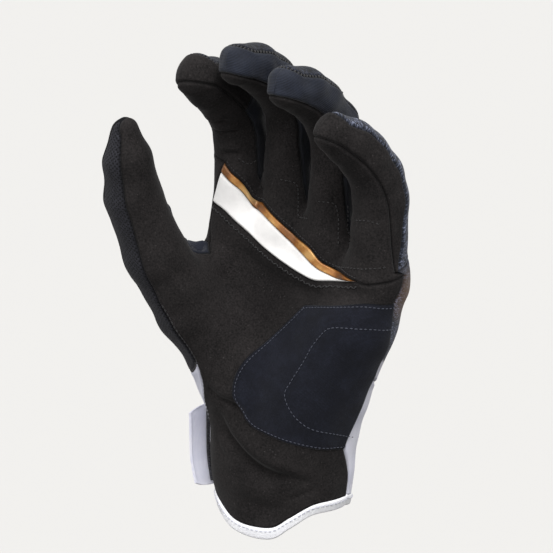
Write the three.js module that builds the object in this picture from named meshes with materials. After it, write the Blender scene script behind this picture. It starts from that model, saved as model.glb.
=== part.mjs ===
// Enduro motorcycle glove for the left hand, worn form, hollow and open at the cuff.
// Millimetres; +Z runs from the cuff mouth to the fingers, the palm faces -Y,
// the thumb is on the -X side and the little finger on the +X side.
import * as THREE from 'three';

const WALL = 1.6; // thickness of the cloth panels
const SEAM_PULL = 0.2; // each panel edge stops this far short of the seam line
const KNUCKLE_CUT = 6; // length of bone that is rounded off on each side of a knuckle
const FINGER_BLEND = 2.5; // softening between the bones of one finger
const FINGER_TO_PALM = 8;
const FINGER_TO_FINGER = 2.5;
const PALM_BLEND = 16;
const PLUMP = 0.96; // share of the listed radii kept on fingers
const TURN = 8; // length over which a finger bends at a knuckle
const NUDGE = 0.05; // step used when measuring the slope of the hand form

const DEG = Math.PI / 180;

// knuckle: base joint; swing: turn of the curl plane; lean: sideways tilt;
// bones: lengths; flex: tilt of each bone toward the palm; thick: radii at the joints
const FINGERS = [
  { name: 'index', knuckle: [-23.5, 0, 138], swing: 3, lean: -1.5,
    bones: [46, 27, 15], flex: [-4, 51, 66], thick: [11.8, 11, 11.3, 10] },
  { name: 'middle', knuckle: [0.5, 3, 141], swing: 10, lean: 2,
    bones: [50, 30, 17], flex: [-3, 50, 78], thick: [12.3, 11.7, 11.1, 9.8] },
  { name: 'ring', knuckle: [24.5, 0, 136], swing: 10, lean: 3,
    bones: [46, 29, 17], flex: [-2, 48, 76], thick: [12.3, 11.6, 11.2, 9.8] },
  { name: 'little', knuckle: [50.2, -5.2, 124.2], swing: 26, lean: 6,
    bones: [38, 23, 15], flex: [3, 38, 63], thick: [13.2, 12.2, 11.2, 9.4] },
];

// how far above its base joint each finger starts, on the thumb side and on the other side
const FINGER_START = [[31, 15], [12, 9], [14, -1], [9, 1]];

// columns: x, y, z, radius
const THUMB_LINE = [
  [-22, -8, 72, 16],
  [-34.4, -24, 99.1, 15.2],
  [-43.2, -40, 127.6, 14],
  [-48.3, -50, 154.4, 12.6],
  [-47.6, -55, 171, 10.9],
  [-47.2, -58, 184.5, 6],
];
const THUMB_FACING = [0.971, -0.197, 0.134]; // direction the thumb pad looks to

// columns: x, y, z, radius at one end, then at the other
const PALM_BARS = [
  [-14, -2, 62, 17, -21, 2, 130, 13.5],
  [0, 0, 62, 18, 0, 5, 133, 13.5],
  [14, 0, 62, 18, 22, 2, 126, 13.5],
  [22, -2, 62, 16, 49.5, -3, 115, 13.3],
  [22, -8, 66, 15, 39, -9, 95, 15],
  [-10, 0, -10, 22, -10, 0, 30, 20.5],
  [10, 0, -10, 22, 10, 0, 30, 20.5],
  [-10, 0, 30, 20.5, -14, -1, 66, 18.5],
  [10, 0, 30, 20.5, 16, -1, 66, 18.5],
];
const WEB_BAR = [-36, -24, 116, 7, -26, -2, 130, 8];

function coneDistance(x, y, z, bar) {
  const [ax, ay, az, ra, bx, by, bz, rb] = bar;
  const ux = bx - ax;
  const uy = by - ay;
  const uz = bz - az;
  const long2 = ux * ux + uy * uy + uz * uz;
  const taper = ra - rb;
  const side2 = long2 - taper * taper;
  const vx = x - ax;
  const vy = y - ay;
  const vz = z - az;
  const along = vx * ux + vy * uy + vz * uz;
  const past = along - long2;
  const wx = vx * long2 - ux * along;
  const wy = vy * long2 - uy * along;
  const wz = vz * long2 - uz * along;
  const off2 = wx * wx + wy * wy + wz * wz;
  const along2 = along * along * long2;
  const past2 = past * past * long2;
  const lean = Math.sign(taper) * taper * taper * off2;
  if (Math.sign(past) * side2 * past2 > lean) {
    return Math.sqrt(off2 + past2) / long2 - rb;
  }
  if (Math.sign(along) * side2 * along2 < lean) {
    return Math.sqrt(off2 + along2) / long2 - ra;
  }
  return (Math.sqrt(off2 * side2 / long2) + along * taper) / long2 - ra;
}

function softMin(a, b, reach) {
  const near = Math.max(reach - Math.abs(a - b), 0) / reach;
  return Math.min(a, b) - near * near * reach * 0.25;
}

// A digit is a chain of round bars with a palmar direction to look to.
function makeDigit(name, joints, radii, palmar) {
  const bars = [];
  for (let i = 0; i + 1 < joints.length; i += 1) {
    bars.push([...joints[i].toArray(), radii[i], ...joints[i + 1].toArray(), radii[i + 1]]);
  }
  return { name, joints, radii, palmar, bars };
}

function makeFinger(row) {
  const palmar = new THREE.Vector3(-Math.sin(row.swing * DEG), -Math.cos(row.swing * DEG), 0);
  const across = new THREE.Vector3(Math.cos(row.swing * DEG), -Math.sin(row.swing * DEG), 0);
  const up = new THREE.Vector3(0, 0, Math.cos(row.lean * DEG));
  up.addScaledVector(across, Math.sin(row.lean * DEG));
  const joints = [new THREE.Vector3(...row.knuckle)];
  row.bones.forEach((length, i) => {
    const next = joints[i].clone();
    next.addScaledVector(up, length * Math.cos(row.flex[i] * DEG));
    next.addScaledVector(palmar, length * Math.sin(row.flex[i] * DEG));
    joints.push(next);
  });
  const radii = row.thick.map((r) => r * PLUMP);
  return roundKnuckles(row.name, joints, radii, palmar);
}

// each inner joint becomes two, a little way along the bones, so that the finger bends roundly
function roundKnuckles(name, joints, radii, palmar) {
  const points = [joints[0]];
  const thick = [radii[0]];
  for (let i = 1; i + 1 < joints.length; i += 1) {
    for (const j of [i - 1, i + 1]) {
      const share = KNUCKLE_CUT / joints[i].distanceTo(joints[j]);
      points.push(joints[i].clone().lerp(joints[j], share));
      thick.push(radii[i] + (radii[j] - radii[i]) * share);
    }
  }
  points.push(joints[joints.length - 1]);
  thick.push(radii[radii.length - 1]);
  return makeDigit(name, points, thick, palmar);
}

function makeThumb() {
  const joints = THUMB_LINE.map((row) => new THREE.Vector3(row[0], row[1], row[2]));
  const palmar = new THREE.Vector3(...THUMB_FACING).normalize();
  return makeDigit('thumb', joints, THUMB_LINE.map((row) => row[3]), palmar);
}

const FINGER = FINGERS.map(makeFinger);
const THUMB = makeThumb();

function chainDistance(digit, x, y, z) {
  let best = null;
  for (const bar of digit.bars) {
    const d = coneDistance(x, y, z, bar);
    best = best === null ? d : softMin(best, d, FINGER_BLEND);
  }
  return best;
}

function bodyDistance(x, y, z) {
  let body = null;
  for (const bar of PALM_BARS) {
    const d = coneDistance(x, y, z, bar);
    body = body === null ? d : softMin(body, d, PALM_BLEND);
  }
  body = softMin(body, chainDistance(THUMB, x, y, z), PALM_BLEND);
  return softMin(body, coneDistance(x, y, z, WEB_BAR), PALM_BLEND / 2);
}

function handForm(x, y, z) {
  let fingers = null;
  for (const digit of FINGER) {
    const d = chainDistance(digit, x, y, z);
    fingers = fingers === null ? d : softMin(fingers, d, FINGER_TO_FINGER);
  }
  return softMin(bodyDistance(x, y, z), fingers, FINGER_TO_PALM);
}

function fingerForm(i) {
  return (x, y, z) => softMin(bodyDistance(x, y, z),
    chainDistance(FINGER[i], x, y, z), FINGER_TO_PALM);
}

function slope(form, p) {
  const g = new THREE.Vector3(
    form(p.x + NUDGE, p.y, p.z) - form(p.x - NUDGE, p.y, p.z),
    form(p.x, p.y + NUDGE, p.z) - form(p.x, p.y - NUDGE, p.z),
    form(p.x, p.y, p.z + NUDGE) - form(p.x, p.y, p.z - NUDGE),
  );
  return g.multiplyScalar(0.5 / NUDGE);
}

// Moves a rough point onto the skin of the form, and keeps the outward direction there.
const SETTLE_STEPS = 9;
const LEAST_SLOPE = 0.2;
function onSkin(form, rough) {
  const p = rough.clone();
  let g = slope(form, p);
  for (let i = 0; i < SETTLE_STEPS; i += 1) {
    const d = form(p.x, p.y, p.z);
    p.addScaledVector(g, -d / Math.max(g.lengthSq(), LEAST_SLOPE));
    g = slope(form, p);
  }
  return { p, n: g.normalize() };
}

// Where the centre line of a digit runs at a length s from its base, and how it is turned.
function digitAt(digit, s) {
  const spot = (at) => {
    let left = at;
    const j = digit.joints;
    const last = j.length - 2;
    for (let i = 0; i < last; i += 1) {
      const bone = j[i].distanceTo(j[i + 1]);
      if (left <= bone) {
        return { c: j[i].clone().lerp(j[i + 1], left / bone), r: mix(digit.radii, i, left / bone) };
      }
      left -= bone;
    }
    const share = left / j[last].distanceTo(j[last + 1]);
    return { c: j[last].clone().lerp(j[last + 1], share), r: mix(digit.radii, last, share) };
  };
  const here = spot(s);
  const back = spot(s - TURN).c;
  const ahead = spot(s + TURN).c;
  const t = ahead.clone().sub(back).normalize();
  const q = digit.palmar.clone().addScaledVector(t, -digit.palmar.dot(t)).normalize();
  const l = new THREE.Vector3().crossVectors(t, q);
  const c = here.c.clone().multiplyScalar(2).add(back).add(ahead).multiplyScalar(0.25);
  return { c, t, q, l, r: here.r };
}

function mix(list, i, share) {
  return list[i] + (list[i + 1] - list[i]) * Math.min(Math.max(share, 0), 1);
}

function digitLength(digit) {
  let total = 0;
  for (let i = 0; i + 1 < digit.joints.length; i += 1) {
    total += digit.joints[i].distanceTo(digit.joints[i + 1]);
  }
  return total;
}

const lerp = (a, b, share) => a + (b - a) * share;
const between = (a, b, share) => a.clone().lerp(b, share);
const V = (x, y, z) => new THREE.Vector3(x, y, z);

// Seam layout on a digit. Rows run from the base to the tip joint, then round the tip.
const ROWS = 10; // rows along a digit
const TIP_CHORD_ANGLES = [-68, -46]; // rows that cross the tip before the last one
const TIP_END = 24; // the last row spans this angle to either side
const ACROSS = 4; // columns across a finger
const THUMB_ACROSS = 6;
const MESH_COLUMNS = 2; // columns of the thumb back that are mesh
const SIDE_COLUMNS = 3; // columns across a side band

const FRONT_HALF = 54; // half angle of the palmar panel round a finger
const BACK_HALF = 62; // half angle of the back panel
const INDEX_HIGH = 70; // the palmar panel wraps further round the index finger
const WEB_HALF = 80; // both panels spread to this angle where two fingers part
const WEB_ROWS = 3; // rows over which they spread

class Digit {
  constructor(shape, form, starts, halves, lifts, across) {
    this.shape = shape;
    this.form = form;
    this.starts = starts; // start length on the low side, then on the high side
    this.halves = halves; // (row, side, front) -> angle from the palmar or the back middle
    this.lifts = lifts; // height of the front and the back seam at the very tip
    this.across = across;
    this.length = digitLength(shape);
    const end = [];
    for (let j = 0; j <= across; j += 1) end.push(lerp(-TIP_END, TIP_END, j / across));
    const chords = TIP_CHORD_ANGLES;
    this.tipAngles = [...chords, ...end, ...chords.map((a) => -a).reverse()];
  }

  rowLength(row, share) {
    const start = lerp(this.starts[0], this.starts[1], share);
    return lerp(start, this.length, row / ROWS);
  }

  // angle 0 looks to the palm, +90 to the little-finger side
  round(row, share, angle) {
    const at = digitAt(this.shape, this.rowLength(row, share));
    const rough = at.c.clone();
    rough.addScaledVector(at.q, at.r * Math.cos(angle * DEG));
    rough.addScaledVector(at.l, at.r * Math.sin(angle * DEG));
    return onSkin(this.form, rough);
  }

  tip(direction) {
    const at = digitAt(this.shape, this.length);
    return onSkin(this.form, at.c.clone().addScaledVector(direction, at.r));
  }

  // direction at the tip for an angle round the tip and a height toward the palm
  tipDirection(angle, lift) {
    const at = digitAt(this.shape, this.length);
    const d = new THREE.Vector3();
    d.addScaledVector(at.l, Math.sin(angle * DEG) * Math.cos(lift * DEG));
    d.addScaledVector(at.t, Math.cos(angle * DEG) * Math.cos(lift * DEG));
    d.addScaledVector(at.q, Math.sin(lift * DEG));
    return d;
  }

  seamLift(angle, front) {
    const side = angle < 0 ? 0 : 1;
    const half = this.halves(ROWS, side, front);
    const edge = front ? 90 - half : half - 90;
    const share = Math.abs(angle) / 90;
    return lerp(this.lifts[front ? 0 : 1], edge, share * share);
  }

  seamPoint(angle, front) {
    return this.tipDirection(angle, this.seamLift(angle, front));
  }

  // palmar (front) or back panel, rows from the base to the tip
  face(front) {
    const rows = [];
    const pole = front ? 90 : -90;
    for (let k = 0; k <= ROWS; k += 1) {
      const row = [];
      for (let j = 0; j <= this.across; j += 1) {
        const share = j / this.across;
        const angle = lerp(-this.halves(k, 0, front), this.halves(k, 1, front), share);
        row.push(this.round(k, share, front ? angle : 180 - angle));
      }
      rows.push(row);
    }
    TIP_CHORD_ANGLES.forEach((angle, k) => {
      const low = this.seamPoint(angle, front);
      const high = this.seamPoint(-angle, front);
      const share = (k + 1) / (TIP_CHORD_ANGLES.length + 1);
      const crest = this.tipDirection(0, lerp(pole, this.seamLift(0, front), share));
      const row = [];
      for (let j = 0; j <= this.across; j += 1) {
        const u = (2 * j) / this.across;
        row.push(this.tip(u <= 1 ? arc(low, crest, u) : arc(crest, high, u - 1)));
      }
      rows.push(row);
    });
    const end = this.tipAngles.slice(TIP_CHORD_ANGLES.length, -TIP_CHORD_ANGLES.length);
    rows.push(end.map((angle) => this.tip(this.seamPoint(angle, front))));
    return rows;
  }

  // one side band, rows from the base to the seam at the tip
  band(side, tipEnd) {
    const rows = [];
    for (let k = 0; k <= ROWS; k += 1) {
      const front = this.halves(k, side, true);
      const back = 180 - this.halves(k, side, false);
      const row = [];
      for (let j = 0; j <= SIDE_COLUMNS; j += 1) {
        const angle = lerp(front, back, j / SIDE_COLUMNS);
        row.push(this.round(k, side, side === 0 ? -angle : angle));
      }
      rows.push(row);
    }
    const angles = this.tipAngles.filter((a) => (side === 0 ? a <= tipEnd : a >= tipEnd));
    if (side === 1) angles.reverse();
    for (const angle of angles) {
      const front = this.seamLift(angle, true);
      const back = this.seamLift(angle, false);
      const row = [];
      for (let j = 0; j <= SIDE_COLUMNS; j += 1) {
        row.push(this.tip(this.tipDirection(angle, lerp(front, back, j / SIDE_COLUMNS))));
      }
      rows.push(row);
    }
    return rows;
  }
}

const SAME_TURN = 1e-4;

// direction between two unit directions, by equal turns
function arc(a, b, share) {
  const turn = a.angleTo(b);
  if (turn < SAME_TURN) return a.clone();
  const d = a.clone().multiplyScalar(Math.sin((1 - share) * turn));
  return d.addScaledVector(b, Math.sin(share * turn)).normalize();
}

// A panel is a sheet of small faces over samples of the skin.
const RANK = V(0.31, 0.17, 1);

class Sheet {
  constructor() {
    this.spots = [];
    this.index = new Map();
    this.faces = [];
  }

  spot(sample) {
    const key = sample.p.toArray().map((v) => v.toFixed(3)).join(' ');
    if (!this.index.has(key)) {
      this.index.set(key, this.spots.length);
      this.spots.push(sample);
    }
    return this.index.get(key);
  }

  // rows of samples, each row as long as the others
  grid(rows) {
    const faces = [];
    let facing = 0;
    const add = (a, b, c) => {
      if (a === b || b === c || a === c) return;
      const [p, q, r] = [a, b, c].map((i) => this.spots[i]);
      const normal = q.p.clone().sub(p.p).cross(r.p.clone().sub(p.p));
      facing += normal.dot(p.n) + normal.dot(q.n) + normal.dot(r.n);
      faces.push([a, b, c]);
    };
    for (let i = 0; i + 1 < rows.length; i += 1) {
      for (let j = 0; j + 1 < rows[i].length; j += 1) {
        const a = this.spot(rows[i][j]);
        const b = this.spot(rows[i][j + 1]);
        const c = this.spot(rows[i + 1][j + 1]);
        const d = this.spot(rows[i + 1][j]);
        const ac = this.spots[a].p.distanceTo(this.spots[c].p);
        const bd = this.spots[b].p.distanceTo(this.spots[d].p);
        if (ac <= bd) {
          add(a, b, c);
          add(a, c, d);
        } else {
          add(a, b, d);
          add(b, c, d);
        }
      }
    }
    if (facing < 0) faces.forEach((f) => f.reverse());
    this.faces.push(...faces);
    return this;
  }

  // closed solid: the sheet, its copy one wall further in, and the rim between them
  solid({ wall = WALL, lift = () => 0, pull = SEAM_PULL } = {}) {
    const edges = new Map();
    for (const face of this.faces) {
      for (let i = 0; i < 3; i += 1) {
        edges.set(`${face[i]} ${face[(i + 1) % 3]}`, [face[i], face[(i + 1) % 3]]);
      }
    }
    const rim = [...edges.values()].filter(([a, b]) => !edges.has(`${b} ${a}`));
    const inward = this.spots.map(() => new THREE.Vector3());
    const count = this.spots.map(() => 0);
    for (const [a, b] of rim) {
      const along = this.spots[b].p.clone().sub(this.spots[a].p).normalize();
      for (const i of [a, b]) {
        inward[i].add(this.spots[i].n.clone().cross(along).normalize());
        count[i] += 1;
      }
    }
    const outer = this.spots.map(({ p, n }, i) => {
      const spot = p.clone().addScaledVector(n, lift(p));
      if (count[i] > 0) {
        const size = Math.max(inward[i].length(), 0.5 * count[i]);
        spot.addScaledVector(inward[i], (pull * count[i]) / size / size);
      }
      return spot;
    });
    const inner = this.spots.map(({ n }, i) => outer[i].clone().addScaledVector(n, -wall));
    const base = outer.length;
    const faces = [...this.faces];
    for (const [a, b, c] of this.faces) faces.push([base + c, base + b, base + a]);
    for (const [a, b] of rim) {
      // neighbours split a shared rim face along the same diagonal
      if (this.spots[a].p.dot(RANK) > this.spots[b].p.dot(RANK)) {
        faces.push([b, a, base + b], [a, base + a, base + b]);
      } else {
        faces.push([b, a, base + a], [b, base + a, base + b]);
      }
    }
    const geometry = new THREE.BufferGeometry();
    const flat = [...outer, ...inner].flatMap((v) => v.toArray());
    geometry.setAttribute('position', new THREE.Float32BufferAttribute(flat, 3));
    geometry.setIndex(faces.flat());
    geometry.computeVertexNormals();
    return geometry;
  }
}

// Sample rows across a four-sided region, its four edges given as lists of samples.
// low and high run the same way; left and right run from low to high.
// The rough points between them are first moved by the bulge along Y.
function fill(low, high, left, right, bulge = 0) {
  const rows = [];
  const m = left.length - 1;
  const n = low.length - 1;
  for (let i = 0; i <= m; i += 1) {
    const v = i / m;
    const row = [];
    for (let j = 0; j <= n; j += 1) {
      const u = j / n;
      if (i === 0) row.push(low[j]);
      else if (i === m) row.push(high[j]);
      else if (j === 0) row.push(left[i]);
      else if (j === n) row.push(right[i]);
      else {
        const p = between(low[j].p, high[j].p, v).add(between(left[i].p, right[i].p, u));
        const bottom = between(low[0].p, low[n].p, u);
        const top = between(high[0].p, high[n].p, u);
        p.sub(between(bottom, top, v));
        p.y += bulge * Math.sqrt(4 * u * (1 - u));
        row.push(onSkin(handForm, p));
      }
    }
    rows.push(row);
  }
  return rows;
}

// samples along a smooth line through rough points, laid on the skin
function seam(points, count, form = handForm) {
  const line = new THREE.CatmullRomCurve3(points.map((p) => V(...p)), false, 'centripetal');
  return line.getSpacedPoints(count).map((p) => onSkin(form, p));
}

// the same, between two samples that exist already
function seamFrom(a, points, b, count, form = handForm) {
  const through = [a.p.toArray(), ...points, b.p.toArray()];
  const samples = seam(through, count, form);
  samples[0] = a;
  samples[count] = b;
  return samples;
}

const ramp = (row) => Math.max(0, 1 - row / WEB_ROWS);

// half angles of the panels round a finger; a side that meets another finger spreads at its base
function fingerHalves(webSides, frontHigh = FRONT_HALF) {
  return (row, side, front) => {
    const wide = side === 0 ? FRONT_HALF : frontHigh;
    const plain = front ? wide : BACK_HALF;
    if (webSides[side]) return lerp(plain, WEB_HALF, ramp(row));
    return plain;
  };
}

// the outer side band of the little finger tapers to a point at the palm
const LITTLE_FRONT = [86, 62];
const LITTLE_BACK = [84, 62];
function littleHalves(row, side, front) {
  if (side === 0) return fingerHalves([true, false])(row, side, front);
  const [base, far] = front ? LITTLE_FRONT : LITTLE_BACK;
  return lerp(far, base, Math.pow(1 - row / ROWS, 2));
}

// thumb: outer seam wanders toward the palm near the base, the web gusset opens on the inner side
const THUMB_OUTER = [84, 66];
const THUMB_INNER = [60, 56];
const GUSSET_ROWS = 5;
const GUSSET_OPEN = 62;
function thumbHalves(row, side, front) {
  const [base, far] = side === 0 ? THUMB_OUTER : THUMB_INNER;
  const edge = lerp(base, far, Math.min(1, row / (ROWS / 2)));
  if (front) return edge;
  const open = side === 1 ? GUSSET_OPEN * Math.max(0, 1 - row / GUSSET_ROWS) : 0;
  return 180 - edge - open;
}

const TIP_LIFTS = [32, -26];
const THUMB_LIFTS = [2, 2];
const THUMB_START = [50, 64];
const DIGITS = FINGER.map((shape, i) => new Digit(
  shape, fingerForm(i), FINGER_START[i],
  i === 3 ? littleHalves : fingerHalves([i > 0, true], i === 0 ? INDEX_HIGH : FRONT_HALF),
  TIP_LIFTS, ACROSS,
));
const THUMB_DIGIT = new Digit(THUMB, handForm, THUMB_START, thumbHalves, THUMB_LIFTS, THUMB_ACROSS);

const FRONT_FACE = DIGITS.map((d) => d.face(true));
const BACK_FACE = DIGITS.map((d) => d.face(false));
const THUMB_FRONT = THUMB_DIGIT.face(true);
const THUMB_BACK = THUMB_DIGIT.face(false);

// Settles a rough point straight up or down, so that it lands in the notch between two fingers.
const DROP_STEPS = 60;
const DROP_SHARE = 0.7;
function dropped(rough) {
  const p = rough.clone();
  for (let i = 0; i < DROP_STEPS; i += 1) p.z -= DROP_SHARE * handForm(p.x, p.y, p.z);
  return { p, n: slope(handForm, p).normalize() };
}

// where two fingers part, on the palm side and on the back
function parting(faces, i) {
  const a = faces[i][0][ACROSS].p;
  const b = faces[i + 1][0][0].p;
  return dropped(between(a, b, 0.5));
}
const WEB_FRONT = [0, 1, 2].map((i) => parting(FRONT_FACE, i));
const WEB_BACK = [0, 1, 2].map((i) => parting(BACK_FACE, i));

function settleBase(faces, webs) {
  faces.forEach((rows, i) => {
    rows[0] = rows[0].map((sample) => onSkin(handForm, sample.p));
    if (i > 0) rows[0][0] = webs[i - 1];
    if (i < webs.length) rows[0][ACROSS] = webs[i];
  });
}
settleBase(FRONT_FACE, WEB_FRONT);
settleBase(BACK_FACE, WEB_BACK);

// the crotch row of a finger web, from its palm side to its back
function crotch(front, back) {
  const row = [front];
  for (let j = 1; j < SIDE_COLUMNS; j += 1) row.push(dropped(between(front.p, back.p, j / SIDE_COLUMNS)));
  row.push(back);
  return row;
}

const TIP_SEAM = [24, 0, 0, 0]; // where the two side bands of each finger meet at its tip
function fingerGusset(i) {
  const low = DIGITS[i].band(1, TIP_SEAM[i]).slice(1).reverse();
  const high = DIGITS[i + 1].band(0, TIP_SEAM[i + 1]).slice(1);
  const middle = crotch(WEB_FRONT[i], WEB_BACK[i]);
  return new Sheet().grid([...low, middle, ...high]);
}

// named points on the palm, x y z
const THUMB_WEB_FRONT = [-28.5, -17, 124];
const THUMB_WEB_CREST = [-33, -13, 130];
const THUMB_WEB_BACK = [-38, -7, 120];
const STRIP_TOP = [-31, -6, 165];
const GOLD_LOW = [-31.5, -6, 161.5];
const STRIP_BOTTOM = [-32.5, -6, 147];
const HEEL_INNER_TOP = [19, -16, 106];
const HEEL_OUTER_TOP = [61, -10, 109.5];
const HEEL_OUTER_LOW = [37, -8, 42];
const HEEL_INNER_LOW = [-6, -25, 52];
const WRIST_RADIAL = [-28, -13, 47];
const WRIST_BACK = [-20, 14, 66];
const SEAM_END = [61.5, -6, 122];

const spotOn = (p, form = handForm) => onSkin(form, V(...p));
const WTF = spotOn(THUMB_WEB_FRONT);
const WTB = spotOn(THUMB_WEB_BACK);
const A_TOP = spotOn(STRIP_TOP);
const A_MID = spotOn(GOLD_LOW);
const A_LOW = spotOn(STRIP_BOTTOM);
const H_IN_TOP = spotOn(HEEL_INNER_TOP);
const H_OUT_TOP = spotOn(HEEL_OUTER_TOP);
const H_OUT_LOW = spotOn(HEEL_OUTER_LOW);
const H_IN_LOW = spotOn(HEEL_INNER_LOW);
const W_RADIAL = spotOn(WRIST_RADIAL);
const W_BACK = spotOn(WRIST_BACK);
const B_END = spotOn(SEAM_END);

THUMB_FRONT[0] = THUMB_FRONT[0].slice();
THUMB_FRONT[0][THUMB_ACROSS] = WTF;
THUMB_BACK[0][THUMB_ACROSS] = WTB;

// strip edges across the palm: rough points per finger stretch, thumb side first
const GOLD_TOP_RUN = [
  [[-23, -10, 160.5], [-12.5, -8, 150]],
  [[-1, -9, 143], [11, -11, 135]],
  [[22, -12, 127], [34, -14, 121.5]],
];
const GOLD_LOW_RUN = [
  [[-25, -10, 157.5], [-14, -8, 146.5]],
  [[-2, -10, 139.8], [10, -11, 132]],
  [[21, -12, 124.5], [33, -14, 118.8]],
];
const WHITE_LOW_RUN = [
  [[-25, -11, 142], [-16, -12, 135]],
  [[-5, -11, 126.5], [8, -12, 119.5]],
  [[20, -13, 115.5], [32, -14, 115]],
];
const STRIP_END = spotOn([43.5, -17, 118.3]); // the strips run out to a point here
const CREASE = [[50, -18, 118.6], [56, -14, 119.6]];

function stripEdge(start, runs) {
  const samples = [start];
  for (const run of runs) {
    const from = samples[samples.length - 1];
    const end = spotOn(run[1]);
    samples.push(...seamFrom(from, [run[0]], end, ACROSS).slice(1));
  }
  samples.push(STRIP_END);
  return samples;
}
const GOLD_TOP = stripEdge(A_TOP, GOLD_TOP_RUN);
const GOLD_BOTTOM = stripEdge(A_MID, GOLD_LOW_RUN);
const WHITE_BOTTOM = stripEdge(A_LOW, WHITE_LOW_RUN);
const CREASE_RUN = [...CREASE.map((p) => spotOn(p)), B_END];

const straight = (a, b, count) => seamFrom(a, [], b, count);

const BLOCK_ROWS = 2;
const SHORT_ROWS = 3; // below the strip
const TOP_ROWS = 5;
const PALM_BULGE = 7;
const PALM_TO_HEEL = 5;
const HEEL_ACROSS = 11;
const HEEL_ROWS = 8;
const CUFF_ROWS = 5;

function fingerPanel() {
  const sheet = new Sheet();
  const top = FRONT_FACE.flatMap((rows, i) => (i === 0 ? rows[0] : rows[0].slice(1)));
  const low = [...GOLD_TOP, ...CREASE_RUN];
  const left = straight(A_TOP, top[0], BLOCK_ROWS);
  const right = straight(B_END, top[top.length - 1], BLOCK_ROWS);
  sheet.grid(fill(low, top, left, right));
  for (const rows of FRONT_FACE) sheet.grid(rows);
  return sheet;
}

// palm: thumb pad, ball of the thumb, the middle below the strip, and the wrist below the heel
const HEEL_LEFT = seamFrom(H_IN_LOW, [[-12, -27, 68], [1, -20, 87]], H_IN_TOP, HEEL_ROWS);
const HEEL_TOP = seamFrom(H_IN_TOP, [[44, -21, 110]], H_OUT_TOP, HEEL_ACROSS);
const HEEL_BOTTOM = seamFrom(H_IN_LOW, [[7, -25, 48.5], [25, -22, 43]], H_OUT_LOW, HEEL_ACROSS);
const HEEL_RIGHT = seamFrom(H_OUT_LOW, [[49.5, -7, 71]], H_OUT_TOP, HEEL_ROWS);
const THUMB_OUTER_SEAM = seamFrom(W_RADIAL, [[-28, -25, 69], [-33, -36, 88]],
  THUMB_FRONT[0][0], HEEL_ROWS);
const WRIST_LINE = seamFrom(W_RADIAL, [[-19, -25, 52]], H_IN_LOW, THUMB_ACROSS + PALM_TO_HEEL);
const CUFF_RADIAL = [-28, -9, 13];
const CUFF_ULNAR = [33.5, 0, 15.5];
const CUFF_FRONT_RUN = [[-25, -17, 9], [-13, -22, 3], [6, -23, 2], [15, -22, 7.6],
  [25, -18, 14]];
const CUFF_BACK_RUN = [[20, 18, 12], [0, 22, 10], [-20, 18, 11]];
const C_RADIAL = spotOn(CUFF_RADIAL);
const C_ULNAR = spotOn(CUFF_ULNAR);
const CUFF_FRONT = seamFrom(C_RADIAL, CUFF_FRONT_RUN, C_ULNAR,
  THUMB_ACROSS + PALM_TO_HEEL + HEEL_ACROSS);
const RADIAL_SEAM = seamFrom(C_RADIAL, [[-28, -11, 32]], W_RADIAL, CUFF_ROWS);
const ULNAR_SEAM = seamFrom(C_ULNAR, [[34, -2, 28]], H_OUT_LOW, CUFF_ROWS);

const INNER_LINE = seamFrom(WTF, [[-8, -14, 112]], H_IN_TOP, PALM_TO_HEEL);
const WEB_TO_STRIP = seamFrom(WTF, [[-33, -10, 136]], A_LOW, SHORT_ROWS);
const HEEL_TO_END = straight(H_OUT_TOP, B_END, SHORT_ROWS);

function palmPanel() {
  const sheet = new Sheet();
  sheet.grid(THUMB_FRONT);
  const ballTop = [...THUMB_FRONT[0], ...INNER_LINE.slice(1)];
  sheet.grid(fill(WRIST_LINE, ballTop, THUMB_OUTER_SEAM, HEEL_LEFT, -PALM_BULGE));
  const middleLow = [...INNER_LINE, ...HEEL_TOP.slice(1)];
  const middleTop = [...WHITE_BOTTOM, ...CREASE_RUN];
  sheet.grid(fill(middleLow, middleTop, WEB_TO_STRIP, HEEL_TO_END, -PALM_BULGE));
  const cuffTop = [...WRIST_LINE, ...HEEL_BOTTOM.slice(1)];
  sheet.grid(fill(CUFF_FRONT, cuffTop, RADIAL_SEAM, ULNAR_SEAM, -PALM_BULGE));
  return sheet;
}

function heelPatch() {
  return new Sheet().grid(fill(HEEL_BOTTOM, HEEL_TOP, HEEL_LEFT, HEEL_RIGHT, -PALM_BULGE));
}

function whiteStrip() {
  const left = straight(A_LOW, A_MID, BLOCK_ROWS);
  const right = new Array(BLOCK_ROWS + 1).fill(STRIP_END);
  return new Sheet().grid(fill(WHITE_BOTTOM, GOLD_BOTTOM, left, right));
}

function goldStrip() {
  return new Sheet().grid([GOLD_BOTTOM, GOLD_TOP]);
}

// thumb-side band of the index finger, on down past the strip to the thumb web
const WEB_CROTCH = seamFrom(WTF, [THUMB_WEB_CREST], WTB, SIDE_COLUMNS);
const INDEX_BAND = DIGITS[0].band(0, TIP_SEAM[0]);
const BAND_FRONT = [...WEB_TO_STRIP, ...straight(A_LOW, A_MID, BLOCK_ROWS).slice(1), A_TOP,
  ...straight(A_TOP, FRONT_FACE[0][0][0], BLOCK_ROWS).slice(1)];
const BAND_BACK = seamFrom(WTB, [[-38, 0, 132], [-36, 5, 147]], BACK_FACE[0][0][0],
  BAND_FRONT.length - 1);

function indexSide() {
  const sheet = new Sheet();
  const base = straight(BAND_FRONT[BAND_FRONT.length - 1], BAND_BACK[BAND_BACK.length - 1],
    SIDE_COLUMNS);
  const band = INDEX_BAND.slice();
  band[0] = base;
  sheet.grid(band);
  const rows = fill(WEB_CROTCH, base, BAND_FRONT, BAND_BACK);
  sheet.grid(rows);
  return sheet;
}

function littleSide() {
  const band = DIGITS[3].band(1, TIP_SEAM[3]);
  const front = FRONT_FACE[3][0][ACROSS];
  const back = BACK_FACE[3][0][ACROSS];
  band[0] = straight(front, back, SIDE_COLUMNS);
  return new Sheet().grid(band);
}

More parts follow.
